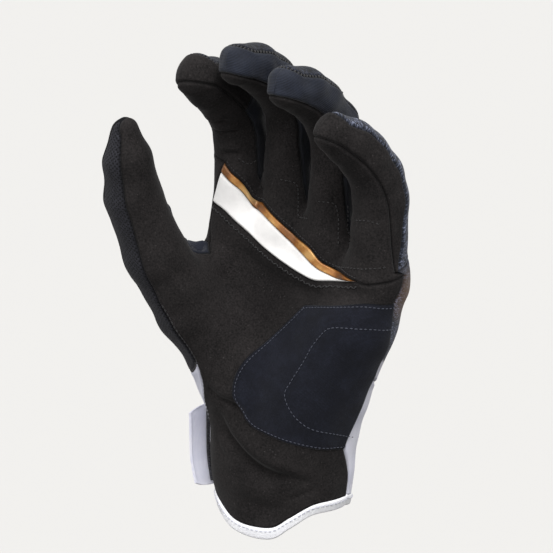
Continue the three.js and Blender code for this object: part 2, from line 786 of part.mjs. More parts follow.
function webGusset() {
  const rows = THUMB_DIGIT.band(1, 91).slice(0, GUSSET_ROWS + 1);
  rows[0] = WEB_CROTCH;
  return new Sheet().grid(rows);
}

// back of the hand
const CUFF_RISE = 4; // the cuff back runs up this many rows beside the heel patch
const BACK_BULGE = 12;
const CUFF_LEFT_END = THUMB_OUTER_SEAM[CUFF_RISE];
const CUFF_RIGHT_END = HEEL_RIGHT[CUFF_RISE];
const BACK_LINE = seamFrom(CUFF_LEFT_END, [[-28, 4, 71]], W_BACK, THUMB_ACROSS);
const DORSAL_SEAM = seamFrom(W_BACK, [[-27, 12, 82], [-35, 6, 102]], WTB, HEEL_ROWS - CUFF_RISE);
const KNUCKLE_LINE = BACK_FACE.flatMap((rows, i) => (i === 0 ? rows[0] : rows[0].slice(1)));
const BACK_LOW = seamFrom(W_BACK, [[0, 20, 64], [28, 12, 66]], CUFF_RIGHT_END,
  KNUCKLE_LINE.length - 1);
const THUMB_ROOT = fill(BACK_LINE, THUMB_BACK[0], THUMB_OUTER_SEAM.slice(CUFF_RISE), DORSAL_SEAM);

function thumbBack(from, to) {
  const cut = (rows) => rows.map((row) => row.slice(from, to + 1));
  return new Sheet().grid(cut(THUMB_ROOT)).grid(cut(THUMB_BACK));
}

function backPanel() {
  const left = [...DORSAL_SEAM, ...BAND_BACK.slice(1)];
  const end = KNUCKLE_LINE[KNUCKLE_LINE.length - 1];
  const right = [...HEEL_RIGHT.slice(CUFF_RISE), ...HEEL_TO_END.slice(1),
    ...straight(B_END, end, TOP_ROWS).slice(1)];
  return new Sheet().grid(fill(BACK_LOW, KNUCKLE_LINE, left, right, BACK_BULGE));
}

const CUFF_BACK = seamFrom(C_RADIAL, [...CUFF_BACK_RUN].reverse(), C_ULNAR,
  THUMB_ACROSS + KNUCKLE_LINE.length - 1);

function cuffBack() {
  const top = [...BACK_LINE, ...BACK_LOW.slice(1)];
  const left = [...RADIAL_SEAM, ...THUMB_OUTER_SEAM.slice(1, CUFF_RISE + 1)];
  const right = [...ULNAR_SEAM, ...HEEL_RIGHT.slice(1, CUFF_RISE + 1)];
  return new Sheet().grid(fill(CUFF_BACK, top, left, right, BACK_BULGE));
}

const BINDING_TALL = 5.4;
const BINDING_WALL = 2.6;
const BINDING_PROUD = 0.5;
function cuffBinding() {
  const loop = [...CUFF_FRONT, ...[...CUFF_BACK].reverse().slice(1)];
  const low = loop.map(({ p }) => spotOn([p.x, p.y, p.z - BINDING_TALL]));
  low[low.length - 1] = low[0];
  return new Sheet().grid([low, loop]);
}

// closing tab: a strap from the back of the wrist, its free end standing off at the thumb side
const STRAP_LINE = [[6, 23, 32], [-14, 20, 31.5], [-27, 9, 31], [-31, -4, 30.5]];
const STRAP_COLUMNS = 14;
const STRAP_ROWS = 6;
const STRAP_HALF = 20;
const STRAP_ROUND = 0.76; // the corners start to round at this share of its length
const STRAP_NARROW = 0.5; // how far the free end is rounded off, 1 being a full half round
const STRAP_WALL = 1.6;
const PAD_WALL = 1.2;
const PAD_GAP = 0.3;

function strapSheet(from, to, half) {
  const path = seam(STRAP_LINE, STRAP_COLUMNS);
  const rows = [];
  for (let i = 0; i <= STRAP_ROWS; i += 1) {
    const row = [];
    for (let j = from; j <= to; j += 1) {
      const past = Math.max(0, j / STRAP_COLUMNS - STRAP_ROUND) / (1 - STRAP_ROUND);
      const tall = half * Math.sqrt(1 - STRAP_NARROW * past * past);
      const c = path[j].p;
      row.push(spotOn([c.x, c.y, c.z + lerp(-tall, tall, i / STRAP_ROWS)]));
    }
    rows.push(row);
  }
  return new Sheet().grid(rows);
}
const STRAP_STAND = 2 * (PAD_WALL + PAD_GAP) + PAD_GAP + STRAP_WALL;
const STRAP_FLARE = 5.5;
const PAD_FROM = 8;
const FLARE_FROM = 6; // the free end leaves the wrist from this Y
const FLARE_RUN = 9;
function flare(p) {
  const past = Math.max(0, FLARE_FROM - p.y) / FLARE_RUN;
  return STRAP_FLARE * past * past;
}

const LOOK = {
  suede: { color: 0x2b2827, roughness: 0.95, metalness: 0 },
  navy: { color: 0x232631, roughness: 0.85, metalness: 0 },
  denim: { color: 0x3b4150, roughness: 0.85, metalness: 0 },
  mesh: { color: 0x2e3038, roughness: 0.8, metalness: 0 },
  black: { color: 0x18181a, roughness: 0.9, metalness: 0 },
  white: { color: 0xe9e8ef, roughness: 0.7, metalness: 0 },
  gold: { color: 0xa87635, roughness: 0.45, metalness: 0.3 },
};

function buildGlove() {
  const group = new THREE.Group();
  group.name = 'glove';
  const put = (name, sheet, look, options) => {
    const mesh = new THREE.Mesh(sheet.solid(options), new THREE.MeshStandardMaterial(LOOK[look]));
    mesh.name = name;
    group.add(mesh);
  };
  put('palm_panel', palmPanel(), 'suede');
  put('finger_panel', fingerPanel(), 'suede');
  put('palm_strip_white', whiteStrip(), 'white');
  put('palm_strip_gold', goldStrip(), 'gold');
  put('heel_patch', heelPatch(), 'navy');
  put('gusset_index_middle', fingerGusset(0), 'navy');
  put('gusset_middle_ring', fingerGusset(1), 'navy');
  put('gusset_ring_little', fingerGusset(2), 'navy');
  put('index_side', indexSide(), 'suede');
  put('little_side', littleSide(), 'suede');
  BACK_FACE.forEach((rows, i) => put(`${FINGER[i].name}_back`, new Sheet().grid(rows), 'denim'));
  put('back_panel', backPanel(), 'denim');
  put('thumb_mesh', thumbBack(0, MESH_COLUMNS), 'mesh');
  put('thumb_back', thumbBack(MESH_COLUMNS, THUMB_ACROSS), 'black');
  put('web_gusset', webGusset(), 'navy');
  put('cuff_back', cuffBack(), 'white');
  put('cuff_binding', cuffBinding(), 'white', { wall: BINDING_WALL, lift: () => BINDING_PROUD });
  put('closing_strap', strapSheet(0, STRAP_COLUMNS, STRAP_HALF), 'white',
    { wall: STRAP_WALL, lift: (p) => STRAP_STAND + flare(p) });
  put('hook_pad', strapSheet(PAD_FROM, STRAP_COLUMNS - 1, STRAP_HALF - 2), 'black',
    { wall: PAD_WALL, lift: (p) => STRAP_STAND - STRAP_WALL - PAD_GAP + flare(p) });
  put('loop_pad', strapSheet(PAD_FROM, STRAP_COLUMNS - 1, STRAP_HALF - 2), 'black',
    { wall: PAD_WALL, lift: () => PAD_WALL + PAD_GAP });
  return group;
}

export default buildGlove();
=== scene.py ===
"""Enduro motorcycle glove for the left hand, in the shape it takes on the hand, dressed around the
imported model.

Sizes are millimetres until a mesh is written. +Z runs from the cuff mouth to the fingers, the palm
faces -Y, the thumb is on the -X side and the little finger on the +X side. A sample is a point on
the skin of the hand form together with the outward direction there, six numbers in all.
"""
import logging
import math
from dataclasses import dataclass, field
from enum import Enum
from typing import Callable, Sequence

import bpy
import numpy as np
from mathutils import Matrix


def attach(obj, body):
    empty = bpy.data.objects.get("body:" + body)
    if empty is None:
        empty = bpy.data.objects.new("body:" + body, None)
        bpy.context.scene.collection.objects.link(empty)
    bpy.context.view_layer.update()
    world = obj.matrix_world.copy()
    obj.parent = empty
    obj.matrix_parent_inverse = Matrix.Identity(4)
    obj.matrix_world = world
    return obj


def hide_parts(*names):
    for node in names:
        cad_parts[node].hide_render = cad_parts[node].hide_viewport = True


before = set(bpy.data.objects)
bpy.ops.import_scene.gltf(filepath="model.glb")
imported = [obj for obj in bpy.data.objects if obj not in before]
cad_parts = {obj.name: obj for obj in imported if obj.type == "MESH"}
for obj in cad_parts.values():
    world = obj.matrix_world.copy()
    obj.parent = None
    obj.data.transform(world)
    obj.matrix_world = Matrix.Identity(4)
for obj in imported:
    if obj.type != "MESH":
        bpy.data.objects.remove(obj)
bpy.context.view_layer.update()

LOG = logging.getLogger("glove")
MM = 0.001
FINE = 10  # fine cells for each cell of the sewing pattern
WALL = 1.6  # thickness of the cloth panels

Array = np.ndarray
Spot = tuple[float, float, float]
Piece = bpy.types.Object
Tree = bpy.types.NodeTree
Socket = bpy.types.NodeSocket
Form = Callable[[Array], Array]


def linear(colour: str) -> tuple[float, float, float, float]:
    """Turns an sRGB hex colour into linear red, green, blue and alpha.

    Args:
        colour: six hex digits after a hash sign.

    Returns:
        The four linear values.
    """
    levels = [int(colour[i:i + 2], 16) / 255 for i in (1, 3, 5)]
    red, green, blue = [v / 12.92 if v <= 0.04045 else ((v + 0.055) / 1.055) ** 2.4 for v in levels]
    return red, green, blue, 1.0


def lerp(a: Array, b: Array, share: Array) -> Array:
    """Straight mix of a and b."""
    return a + (b - a) * share


def unit(v: Array) -> Array:
    """Vectors at length one."""
    return v / np.maximum(np.linalg.norm(v, axis=-1, keepdims=True), 1e-12)


def smooth(t: Array) -> Array:
    """Eases from 0 to 1 with flat ends: 3t^2 - 2t^3."""
    t = np.clip(t, 0, 1)
    return t * t * (3 - 2 * t)


# The form of the hand

# reach of each soft union, in millimetres
FINGER_BLEND = 2.5
FINGER_TO_PALM = 8
FINGER_TO_FINGER = 2.5
PALM_BLEND = 16
WEB_BLEND = 8

KNUCKLE_CUT = 6  # length cut off a bone on each side of a joint, so that it bends roundly
PLUMP = 0.96  # share of the fingers' listed radii
TURN = 8  # the direction of a digit is measured over this length to both sides
NUDGE = 0.05  # size of the tetrahedron that measures a slope
SETTLE_STEPS = 6
LEAST_SLOPE = 0.2


@dataclass(frozen=True)
class FingerSizes:
    """Sizes of one finger.

    They are the base joint, the turn of its curl plane, its lean to the side, the lengths of its
    bones, how far each bone is curled and the radii at its joints.
    """

    name: str
    knuckle: Spot
    swing: float
    lean: float
    bones: Spot
    flex: Spot
    thick: tuple[float, float, float, float]


FINGERS = (
    FingerSizes("index", (-23.3, 0, 138), 4, 0.3, (46, 27, 15), (-4, 51, 66),
                (11.9, 12.6, 12.4, 10.4)),
    FingerSizes("middle", (0.5, 3, 141), 10, 2, (50, 30, 17), (-3, 50, 78), (12.3, 11.7, 11.1, 9.8)),
    FingerSizes("ring", (24.5, 0, 136), 10, 3, (46, 29, 17), (-2, 48, 76), (12.3, 11.6, 11.2, 9.8)),
    FingerSizes("little", (50.2, -5.2, 124.2), 26, 6, (38, 23, 15), (3, 38, 63),
                (13.2, 12.2, 11.2, 9.4)),
)
# where the panels of each digit begin along it, on its two sides
FINGER_START = ((31, 15), (12, 9), (14, -1), (9, 1))
THUMB_START = (50, 64)
THUMB_LIFTS = (2, 2)  # height of the seams round its tip, front and back, in degrees

# columns: x, y, z, radius
THUMB_LINE = (
    (-22, -8, 72, 16),
    (-34.4, -24, 99.1, 15.2),
    (-43.2, -40, 127.6, 14),
    (-48.3, -50, 154.4, 12.6),
    (-47.6, -55, 171, 10.9),
    (-47.2, -58, 184.5, 6),
)
THUMB_FACING = (0.971, -0.197, 0.134)

# columns: x, y, z, radius at one end, then at the other
PALM_BARS = (
    (-14, -2, 62, 17, -21, 2, 130, 13.5),
    (0, 0, 62, 18, 0, 5, 133, 13.5),
    (14, 0, 62, 18, 22, 2, 126, 13.5),
    (22, -2, 62, 16, 49.5, -3, 115, 13.3),
    (22, -8, 66, 15, 39, -9, 95, 15),
    (-10, 0, -10, 22, -10, 0, 30, 20.5),
    (10, 0, -10, 22, 10, 0, 30, 20.5),
    (-10, 0, 30, 20.5, -14, -1, 66, 18.5),
    (10, 0, 30, 20.5, 16, -1, 66, 18.5),
)
WEB_BAR = (-36, -24, 113.5, 7, -26, -2, 127.5, 8)


def cone_distance(p: Array, bar: Sequence[float]) -> Array:
    """Distance from points to a round bar whose radius tapers.

    The foot of the perpendicular on the axis decides between three cases: past the far end and
    before the near end it is the distance to the end ball, between them it is the distance to the
    sloping side, (perpendicular * cosine + along * sine) - radius.

    Args:
        p: points, the last axis is x, y, z.
        bar: end point and radius, then the other end point and radius.

    Returns:
        Signed distances, negative inside.
    """
    a, b = np.array(bar[:3], float), np.array(bar[4:7], float)
    near, far = bar[3], bar[7]
    u = b - a
    long2 = u @ u
    taper = near - far
    side2 = long2 - taper * taper
    v = p - a
    along = v @ u
    past = along - long2
    off2 = np.maximum(long2 * ((v * v).sum(-1) * long2 - along * along), 0)
    along2 = along * along * long2
    past2 = past * past * long2
    lean = np.sign(taper) * taper * taper * off2
    side = (np.sqrt(off2 * side2 / long2) + along * taper) / long2 - near
    before = np.sqrt(off2 + along2) / long2 - near
    beyond = np.sqrt(off2 + past2) / long2 - far
    inner = np.where(np.sign(along) * side2 * along2 < lean, before, side)
    return np.where(np.sign(past) * side2 * past2 > lean, beyond, inner)


def soft_min(a: Array, b: Array, reach: float) -> Array:
    """Smaller of two distances, rounded off where they differ by less than the reach."""
    near = np.maximum(reach - np.abs(a - b), 0) / reach
    return np.minimum(a, b) - near * near * reach * 0.25


@dataclass
class DigitShape:
    """A finger or thumb as a chain of round bars that looks to its palmar side."""

    joints: Array
    radii: Array
    palmar: Array
    bars: list[Array] = field(init=False)
    reach: Array = field(init=False)

    def __post_init__(self) -> None:
        """Works out the bars and the length from the base to each joint."""
        ends = np.column_stack([self.joints, self.radii])
        self.bars = [np.concatenate([a, b]) for a, b in zip(ends[:-1], ends[1:])]
        bones = np.linalg.norm(np.diff(self.joints, axis=0), axis=1)
        self.reach = np.concatenate([[0], np.cumsum(bones)])

    @property
    def length(self) -> float:
        """Length of the centre line."""
        return float(self.reach[-1])

    def spot(self, s: Array) -> tuple[Array, Array]:
        """Centre and radius at lengths s, running on straight past both ends."""
        i = np.searchsorted(self.reach[1:-1], s, side="left")
        share = (s - self.reach[i]) / (self.reach[i + 1] - self.reach[i])
        centre = lerp(self.joints[i], self.joints[i + 1], share[..., None])
        return centre, lerp(self.radii[i], self.radii[i + 1], np.clip(share, 0, 1))

    def at(self, s: Array) -> tuple[Array, Array, Array, Array, Array]:
        """Smoothed centre line at lengths s.

        Args:
            s: lengths from the base.

        Returns:
            Centre, direction along, palmar direction, direction to the little-finger side, radius.
        """
        s = np.asarray(s, float)
        here, radius = self.spot(s)
        back, ahead = self.spot(s - TURN)[0], self.spot(s + TURN)[0]
        along = unit(ahead - back)
        palm = unit(self.palmar - along * (along @ self.palmar)[..., None])
        side = np.cross(along, palm)
        return (here * 2 + back + ahead) / 4, along, palm, side, radius


def finger_shape(sizes: FingerSizes) -> DigitShape:
    """Builds a finger's chain, each inner joint cut into two so that it bends roundly."""
    swing, lean = math.radians(sizes.swing), math.radians(sizes.lean)
    palmar = np.array([-math.sin(swing), -math.cos(swing), 0])
    across = np.array([math.cos(swing), -math.sin(swing), 0])
    up = np.array([0, 0, math.cos(lean)]) + across * math.sin(lean)
    flex = np.radians(sizes.flex)
    steps = np.outer(np.cos(flex), up) + np.outer(np.sin(flex), palmar)
    steps *= np.array(sizes.bones)[:, None]
    joints = np.array(sizes.knuckle) + np.vstack([np.zeros(3), np.cumsum(steps, axis=0)])
    radii = np.array(sizes.thick) * PLUMP
    points, thick = [joints[0]], [radii[0]]
    for i in range(1, len(joints) - 1):
        for j in (i - 1, i + 1):
            share = KNUCKLE_CUT / np.linalg.norm(joints[i] - joints[j])
            points.append(lerp(joints[i], joints[j], share))
            thick.append(lerp(radii[i], radii[j], share))
    return DigitShape(np.array([*points, joints[-1]]), np.array([*thick, radii[-1]]), palmar)


class HandForm:
    """The smooth form that every panel lies on: a soft union of the palm, the thumb and the fingers."""

    def __init__(self) -> None:
        """Builds the chains of the five digits."""
        self.fingers = [finger_shape(sizes) for sizes in FINGERS]
        line = np.array(THUMB_LINE, float)
        self.thumb = DigitShape(line[:, :3], line[:, 3], unit(np.array(THUMB_FACING)))

    @staticmethod
    def chain(shape: DigitShape, p: Array) -> Array:
        """Distance to one digit."""
        best = cone_distance(p, shape.bars[0])
        for bar in shape.bars[1:]:
            best = soft_min(best, cone_distance(p, bar), FINGER_BLEND)
        return best

    def body(self, p: Array) -> Array:
        """Distance to the palm, the thumb and the web between them."""
        best = cone_distance(p, PALM_BARS[0])
        for bar in PALM_BARS[1:]:
            best = soft_min(best, cone_distance(p, bar), PALM_BLEND)
        best = soft_min(best, self.chain(self.thumb, p), PALM_BLEND)
        return soft_min(best, cone_distance(p, WEB_BAR), WEB_BLEND)

    def hand(self, p: Array) -> Array:
        """Distance to the whole hand."""
        best = self.chain(self.fingers[0], p)
        for shape in self.fingers[1:]:
            best = soft_min(best, self.chain(shape, p), FINGER_TO_FINGER)
        return soft_min(self.body(p), best, FINGER_TO_PALM)

    def finger(self, i: int) -> Form:
        """Distance to the palm and one finger, so that its neighbours leave its sides alone."""
        return lambda p: soft_min(self.body(p), self.chain(self.fingers[i], p), FINGER_TO_PALM)


HAND = HandForm()
CORNERS = np.array([[1, -1, -1], [-1, -1, 1], [-1, 1, -1], [1, 1, 1]], float)


def slope(form: Form, p: Array) -> Array:
    """Slope of a form, from its values at the four corners of a tiny tetrahedron."""
    values = form(p[..., None, :] + CORNERS * NUDGE)
    return (values[..., None] * CORNERS).sum(-2) / (4 * NUDGE)


def settle(form: Form, rough: Array) -> Array:
    """Moves rough points onto the skin of a form, each step being distance / slope along the slope.

    Args:
        form: distance function.
        rough: points near the skin.

    Returns:
        Samples: points with their outward directions.
    """
    p = np.array(rough, float)
    for _ in range(SETTLE_STEPS):
        g = slope(form, p)
        d = form(p)
        p = p - g * (d / np.maximum((g * g).sum(-1), LEAST_SLOPE))[..., None]
    return np.concatenate([p, unit(slope(form, p))], axis=-1)


def on_hand(*points: Sequence[float]) -> Array:
    """Samples of the hand's skin nearest to rough points."""
    return settle(HAND.hand, np.array(points, float))


SPLINE_STEPS = 60  # points on each stretch of a curve before it is measured


def spline(points: Array, count: int) -> Array:
    """Equally spaced points along a centripetal Catmull-Rom curve.

    Each stretch is a cubic whose end slopes come from its neighbours, weighted by the square root
    of the distances between them; the curve is then measured and cut into equal lengths.

    Args:
        points: points that it passes through.
        count: number of cells.

    Returns:
        count + 1 points.
    """
    pts = np.vstack([2 * points[0] - points[1], points, 2 * points[-1] - points[-2]])
    dense = []
    t = np.linspace(0, 1, SPLINE_STEPS)[:, None]
    for p0, p1, p2, p3 in zip(pts[:-3], pts[1:-2], pts[2:-1], pts[3:]):
        d0, d1, d2 = (np.linalg.norm(b - a) ** 0.5 for a, b in ((p0, p1), (p1, p2), (p2, p3)))
        m1 = ((p1 - p0) / d0 - (p2 - p0) / (d0 + d1) + (p2 - p1) / d1) * d1
        m2 = ((p2 - p1) / d1 - (p3 - p1) / (d1 + d2) + (p3 - p2) / d2) * d1
        dense.append(p1 + m1 * t + (3 * (p2 - p1) - 2 * m1 - m2) * t ** 2
                     + (2 * (p1 - p2) + m1 + m2) * t ** 3)
    curve = np.vstack(dense)
    run = np.concatenate([[0], np.cumsum(np.linalg.norm(np.diff(curve, axis=0), axis=1))])
    goals = np.linspace(0, run[-1], count + 1)
    return np.column_stack([np.interp(goals, run, curve[:, k]) for k in range(3)])


def seam(points: Sequence[Sequence[float]], cells: int) -> Array:
    """Samples along a smooth line through rough points, laid on the hand, cells * FINE of them."""
    return settle(HAND.hand, spline(np.array(points, float), cells * FINE))


def seam_from(a: Array, points: Sequence[Sequence[float]], b: Array, cells: int) -> Array:
    """A seam between two samples that exist already."""
    line = seam([a[:3], *points, b[:3]], cells)
    line[0], line[-1] = a, b
    return line


def straight(a: Array, b: Array, cells: int) -> Array:
    """The straightest seam over the hand between two samples."""
    return seam_from(a, [], b, cells)


def joined(*lines: Array) -> Array:
    """Lines end to end, the shared samples kept once."""
    return np.concatenate([lines[0], *[line[1:] for line in lines[1:]]])


FADE = 6  # the bulge of a filled region grows over one part in six of each side


def fill(low: Array, high: Array, left: Array, right: Array, bulge: float = 0) -> Array:
    """Samples of a four-sided region between its edges.

    A Coons patch: the mix of the two long edges plus the mix of the two short ones, less the mix
    of the four corners. Its inner points are moved along Y by the bulge, which eases in from every
    edge, and are settled on the hand.

    Args:
        low: edge at the start.
        high: edge at the end, running the same way.
        left: edge from the start of low to the start of high.
        right: edge from the end of low to the end of high.
        bulge: distance along Y before settling.

    Returns:
        Rows of samples.
    """
    v = np.linspace(0, 1, len(left))[:, None, None]
    u = np.linspace(0, 1, len(low))[None, :, None]
    lo, hi, le, ri = low[None, :, :3], high[None, :, :3], left[:, None, :3], right[:, None, :3]
    p = lerp(lo, hi, v) + lerp(le, ri, u)
    p = p - lerp(lerp(low[0, :3], low[-1, :3], u), lerp(high[0, :3], high[-1, :3], u), v)
    inside = smooth(FADE * u) * smooth(FADE - FADE * u) * smooth(FADE * v) * smooth(FADE - FADE * v)
    p[..., 1] += bulge * inside[..., 0]
    rows = np.empty((len(left), len(low), 6))
    rows[1:-1, 1:-1] = settle(HAND.hand, p[1:-1, 1:-1])
    rows[:, 0], rows[:, -1] = left, right
    rows[0], rows[-1] = low, high
    return rows


# How the panels lie on a digit

# pattern cells
ROWS = 10
SIDE_COLUMNS = 3
WEB_ROWS = 3
GUSSET_ROWS = 5

# angles in degrees, the pairs being at the base and further up
CHORD_STOPS = (-90, -68, -46, -24)
FRONT_HALF = 54
BACK_HALF = 48
INDEX_HIGH = 70
WEB_HALF = 80
LITTLE_FRONT = (86, 62)
LITTLE_BACK = (84, 50)
THUMB_OUTER = (84, 66)
THUMB_INNER = (60, 56)
GUSSET_OPEN = 62


class Halves(Enum):
    """How far round a digit its front and back panels reach, by the digit."""

    INDEX = "index"
    MIDDLE = "middle"
    LITTLE = "little"
    THUMB = "thumb"

    def angle(self, row: Array, side: int, front: bool) -> Array:
        """Half angle of a panel.

        Args:
            row: rows from the base.
            side: 0 for the thumb side, 1 for the other.
            front: the palmar panel, or the back one.

        Returns:
            Angles in degrees from the middle of the palmar side or of the back.
        """
        row = np.asarray(row, float)
        spread = np.maximum(0, 1 - row / WEB_ROWS)
        if self is Halves.THUMB:
            base, far = THUMB_INNER if side else THUMB_OUTER
            edge = lerp(base, far, np.minimum(1, row / (ROWS / 2)))
            opening = GUSSET_OPEN * np.maximum(0, 1 - row / GUSSET_ROWS) if side else 0
            return edge if front else 180 - edge - opening
        if self is Halves.LITTLE and side:
            base, far = LITTLE_FRONT if front else LITTLE_BACK
            return lerp(far, base, (1 - row / ROWS) ** 2)
        wide = INDEX_HIGH if self is Halves.INDEX and side else FRONT_HALF
        plain = wide if front else BACK_HALF
        meets_finger = side == 1 or self is not Halves.INDEX
        return lerp(plain, WEB_HALF, spread) if meets_finger else plain + 0 * row


def arc(a: Array, b: Array, share: Array) -> Array:
    """Direction between two unit directions, by equal turns."""
    turn = np.arccos(np.clip((a * b).sum(-1, keepdims=True), -1, 1))
    mixed = a * np.sin((1 - share) * turn) + b * np.sin(share * turn)
    return unit(np.where(turn < 1e-4, a, mixed))


@dataclass
class DigitPattern:
    """Front, back and side panels of one digit, as rows of samples from its base to its tip."""

    shape: DigitShape
    form: Form
    starts: tuple[float, float]
    halves: Halves
    lifts: tuple[float, float] = (32, -56)
    across: int = 4

    def round(self, row: Array, share: Array, angle: Array) -> Array:
        """Skin at an angle round the digit: 0 looks to the palm, +90 to the little-finger side."""
        start = lerp(self.starts[0], self.starts[1], share)
        centre, _, palm, side, radius = self.shape.at(lerp(start, self.shape.length, row / ROWS))
        turn = np.radians(angle)
        reach = palm * np.cos(turn)[..., None] + side * np.sin(turn)[..., None]
        return settle(self.form, centre + reach * radius[..., None])

    def tip_direction(self, angle: Array, lift: Array) -> Array:
        """Direction at the tip for an angle round it and a height toward the palm."""
        _, along, palm, side, _ = self.shape.at(self.shape.length)
        a, h = np.broadcast_arrays(np.radians(angle), np.radians(lift))
        flat = side * np.sin(a)[..., None] + along * np.cos(a)[..., None]
        return flat * np.cos(h)[..., None] + palm * np.sin(h)[..., None]

    def tip(self, direction: Array) -> Array:
        """Skin of the tip in a direction."""
        centre, _, _, _, radius = self.shape.at(self.shape.length)
        return settle(self.form, centre + direction * radius)

    def seam_lift(self, angle: Array, front: bool) -> Array:
        """Height of the seam round the tip."""
        angle = np.asarray(angle, float)
        low = self.halves.angle(ROWS, 0, front)
        high = self.halves.angle(ROWS, 1, front)
        half = np.where(angle < 0, low, high)
        edge = 90 - half if front else half - 90
        return lerp(self.lifts[0 if front else 1], edge, (np.abs(angle) / 90) ** 2)

    def seam_point(self, angle: Array, front: bool) -> Array:
        """Direction of the seam round the tip."""
        return self.tip_direction(angle, self.seam_lift(angle, front))

    def chords(self) -> Array:
        """Angles at which the rows that cross the tip begin."""
        stops = len(CHORD_STOPS) - 1
        steps = np.arange(1, stops * FINE + 1) / FINE
        return np.interp(steps, np.arange(stops + 1), CHORD_STOPS)

    def face(self, front: bool) -> Array:
        """Palmar or back panel: rows round the digit, then rows that close over the tip.

        Args:
            front: the palmar panel, or the back one.

        Returns:
            Rows of samples from the base to the tip.
        """
        rows = np.arange(ROWS * FINE + 1)[:, None] / FINE
        share = np.linspace(0, 1, self.across * FINE + 1)[None, :]
        low, high = -self.halves.angle(rows, 0, front), self.halves.angle(rows, 1, front)
        angle = lerp(low, high, share)
        row, wide = np.broadcast_arrays(rows, share)
        body = self.round(row, wide, angle if front else 180 - angle)
        chord = self.chords()[:, None]
        step = (np.arange(len(chord)) + 1)[:, None] / len(chord)
        pole = 90 if front else -90
        crest = self.tip_direction(0 * step, lerp(pole, self.seam_lift(0, front), step))
        first, last = self.seam_point(chord, front), self.seam_point(-chord, front)
        u = (2 * share)[..., None]
        cap = np.where(u <= 1, arc(first, crest, np.minimum(u, 1)),
                       arc(crest, last, np.maximum(u - 1, 0)))
        end = CHORD_STOPS[-1]
        cap[-1] = self.seam_point(np.linspace(end, -end, share.size), front)
        return np.concatenate([body, self.tip(cap)])

    def band(self, side: int, tip_end: float) -> Array:
        """One side band, rows from the base to the seam at the tip."""
        share = np.linspace(0, 1, SIDE_COLUMNS * FINE + 1)[None, :]
        rows = np.arange(ROWS * FINE + 1)[:, None] / FINE
        front = self.halves.angle(rows, side, True)
        angle = lerp(front, 180 - self.halves.angle(rows, side, False), share)
        row, wide = np.broadcast_arrays(rows, np.full_like(share, side))
        body = self.round(row, wide, angle if side else -angle)
        chord = self.chords()
        end = np.linspace(chord[-1], -chord[-1], self.across * FINE + 1)[1:-1]
        turns = np.concatenate([chord, end, -chord[::-1]])
        turns = turns[turns >= tip_end - 1e-6][::-1] if side else turns[turns <= tip_end + 1e-6]
        turns = turns[:, None]
        lift = lerp(self.seam_lift(turns, True), self.seam_lift(turns, False), share)
        return np.concatenate([body, self.tip(self.tip_direction(turns, lift))])


def bend_base(rows: Array, base: Array, spots: Sequence[tuple[int, Array]] = ()) -> Array:
    """Moves the first rows of a panel so that its base row runs through given samples.

    The offset of the base row fades out over one pattern cell, in a straight line; the offset of
    a single spot also fades out to both sides of it.

    Args:
        rows: rows of samples.
        base: base row that they should start from.
        spots: pairs of column and sample.

    Returns:
        The changed rows.
    """
    out = rows.copy()
    shift = base[:, :3] - rows[0, :, :3]
    column = np.arange(rows.shape[1])
    for at, sample in spots:
        near = np.maximum(0, 1 - np.abs(column - at) / FINE)[:, None]
        shift = shift + near * (sample[:3] - base[at, :3])
    fade = 1 - np.arange(FINE)[:, None, None] / FINE
    out[:FINE, :, :3] += fade * shift
    mixed = lerp(rows[:FINE, :, 3:], base[None, :, 3:], fade)
    out[:FINE, :, 3:] = unit(mixed)
    return out


def fit_edges(rows: Array, first: Array, last: Array) -> Array:
    """Moves a band so that its two long edges are the given lines, its inside following evenly."""
    u = np.linspace(0, 1, rows.shape[1])[None, :, None]
    out = rows + (1 - u) * (first - rows[:, 0])[:, None] + u * (last - rows[:, -1])[:, None]
    out[..., 3:] = unit(out[..., 3:])
    out[:, 0], out[:, -1] = first, last
    return out


DROP_STEPS = 40
DROP_SHARE = 0.7  # share of the distance that one step goes


def dropped(rough: Array) -> Array:
    """Settles points straight up or down, into the notch between two fingers."""
    p = np.array(rough, float)
    for _ in range(DROP_STEPS):
        p[..., 2] -= DROP_SHARE * HAND.hand(p)
    return np.concatenate([p, unit(slope(HAND.hand, p))], axis=-1)


def rim_of(face: Array, side: int, count: int) -> Array:
    """Edge of a face along one side and on round the tip, cut to a number of samples."""
    last = face[-1] if side == 0 else face[-1, ::-1]
    return np.concatenate([face[:, 0 if side == 0 else -1], last[1:]])[:count]


# The sewing pattern: named lines, then the patches between them

# pattern cells along and across the regions
BLOCK_ROWS = 2
SHORT_ROWS = 3
TOP_ROWS = 5
STRIP_CELLS = 13
CREASE_CELLS = 3
HEEL_ROWS = 8
HEEL_ACROSS = 11
PALM_TO_HEEL = 5
CUFF_ROWS = 5
CUFF_RISE = 4
THUMB_ACROSS = 6

# how far the inside of a region is moved along Y before it is settled, in millimetres
PALM_BULGE = 7
BACK_BULGE = 12

TIP_SEAM = (24, 0, 0, 0)  # angle round each fingertip at which its two side bands meet
THUMB_SEAM = 91


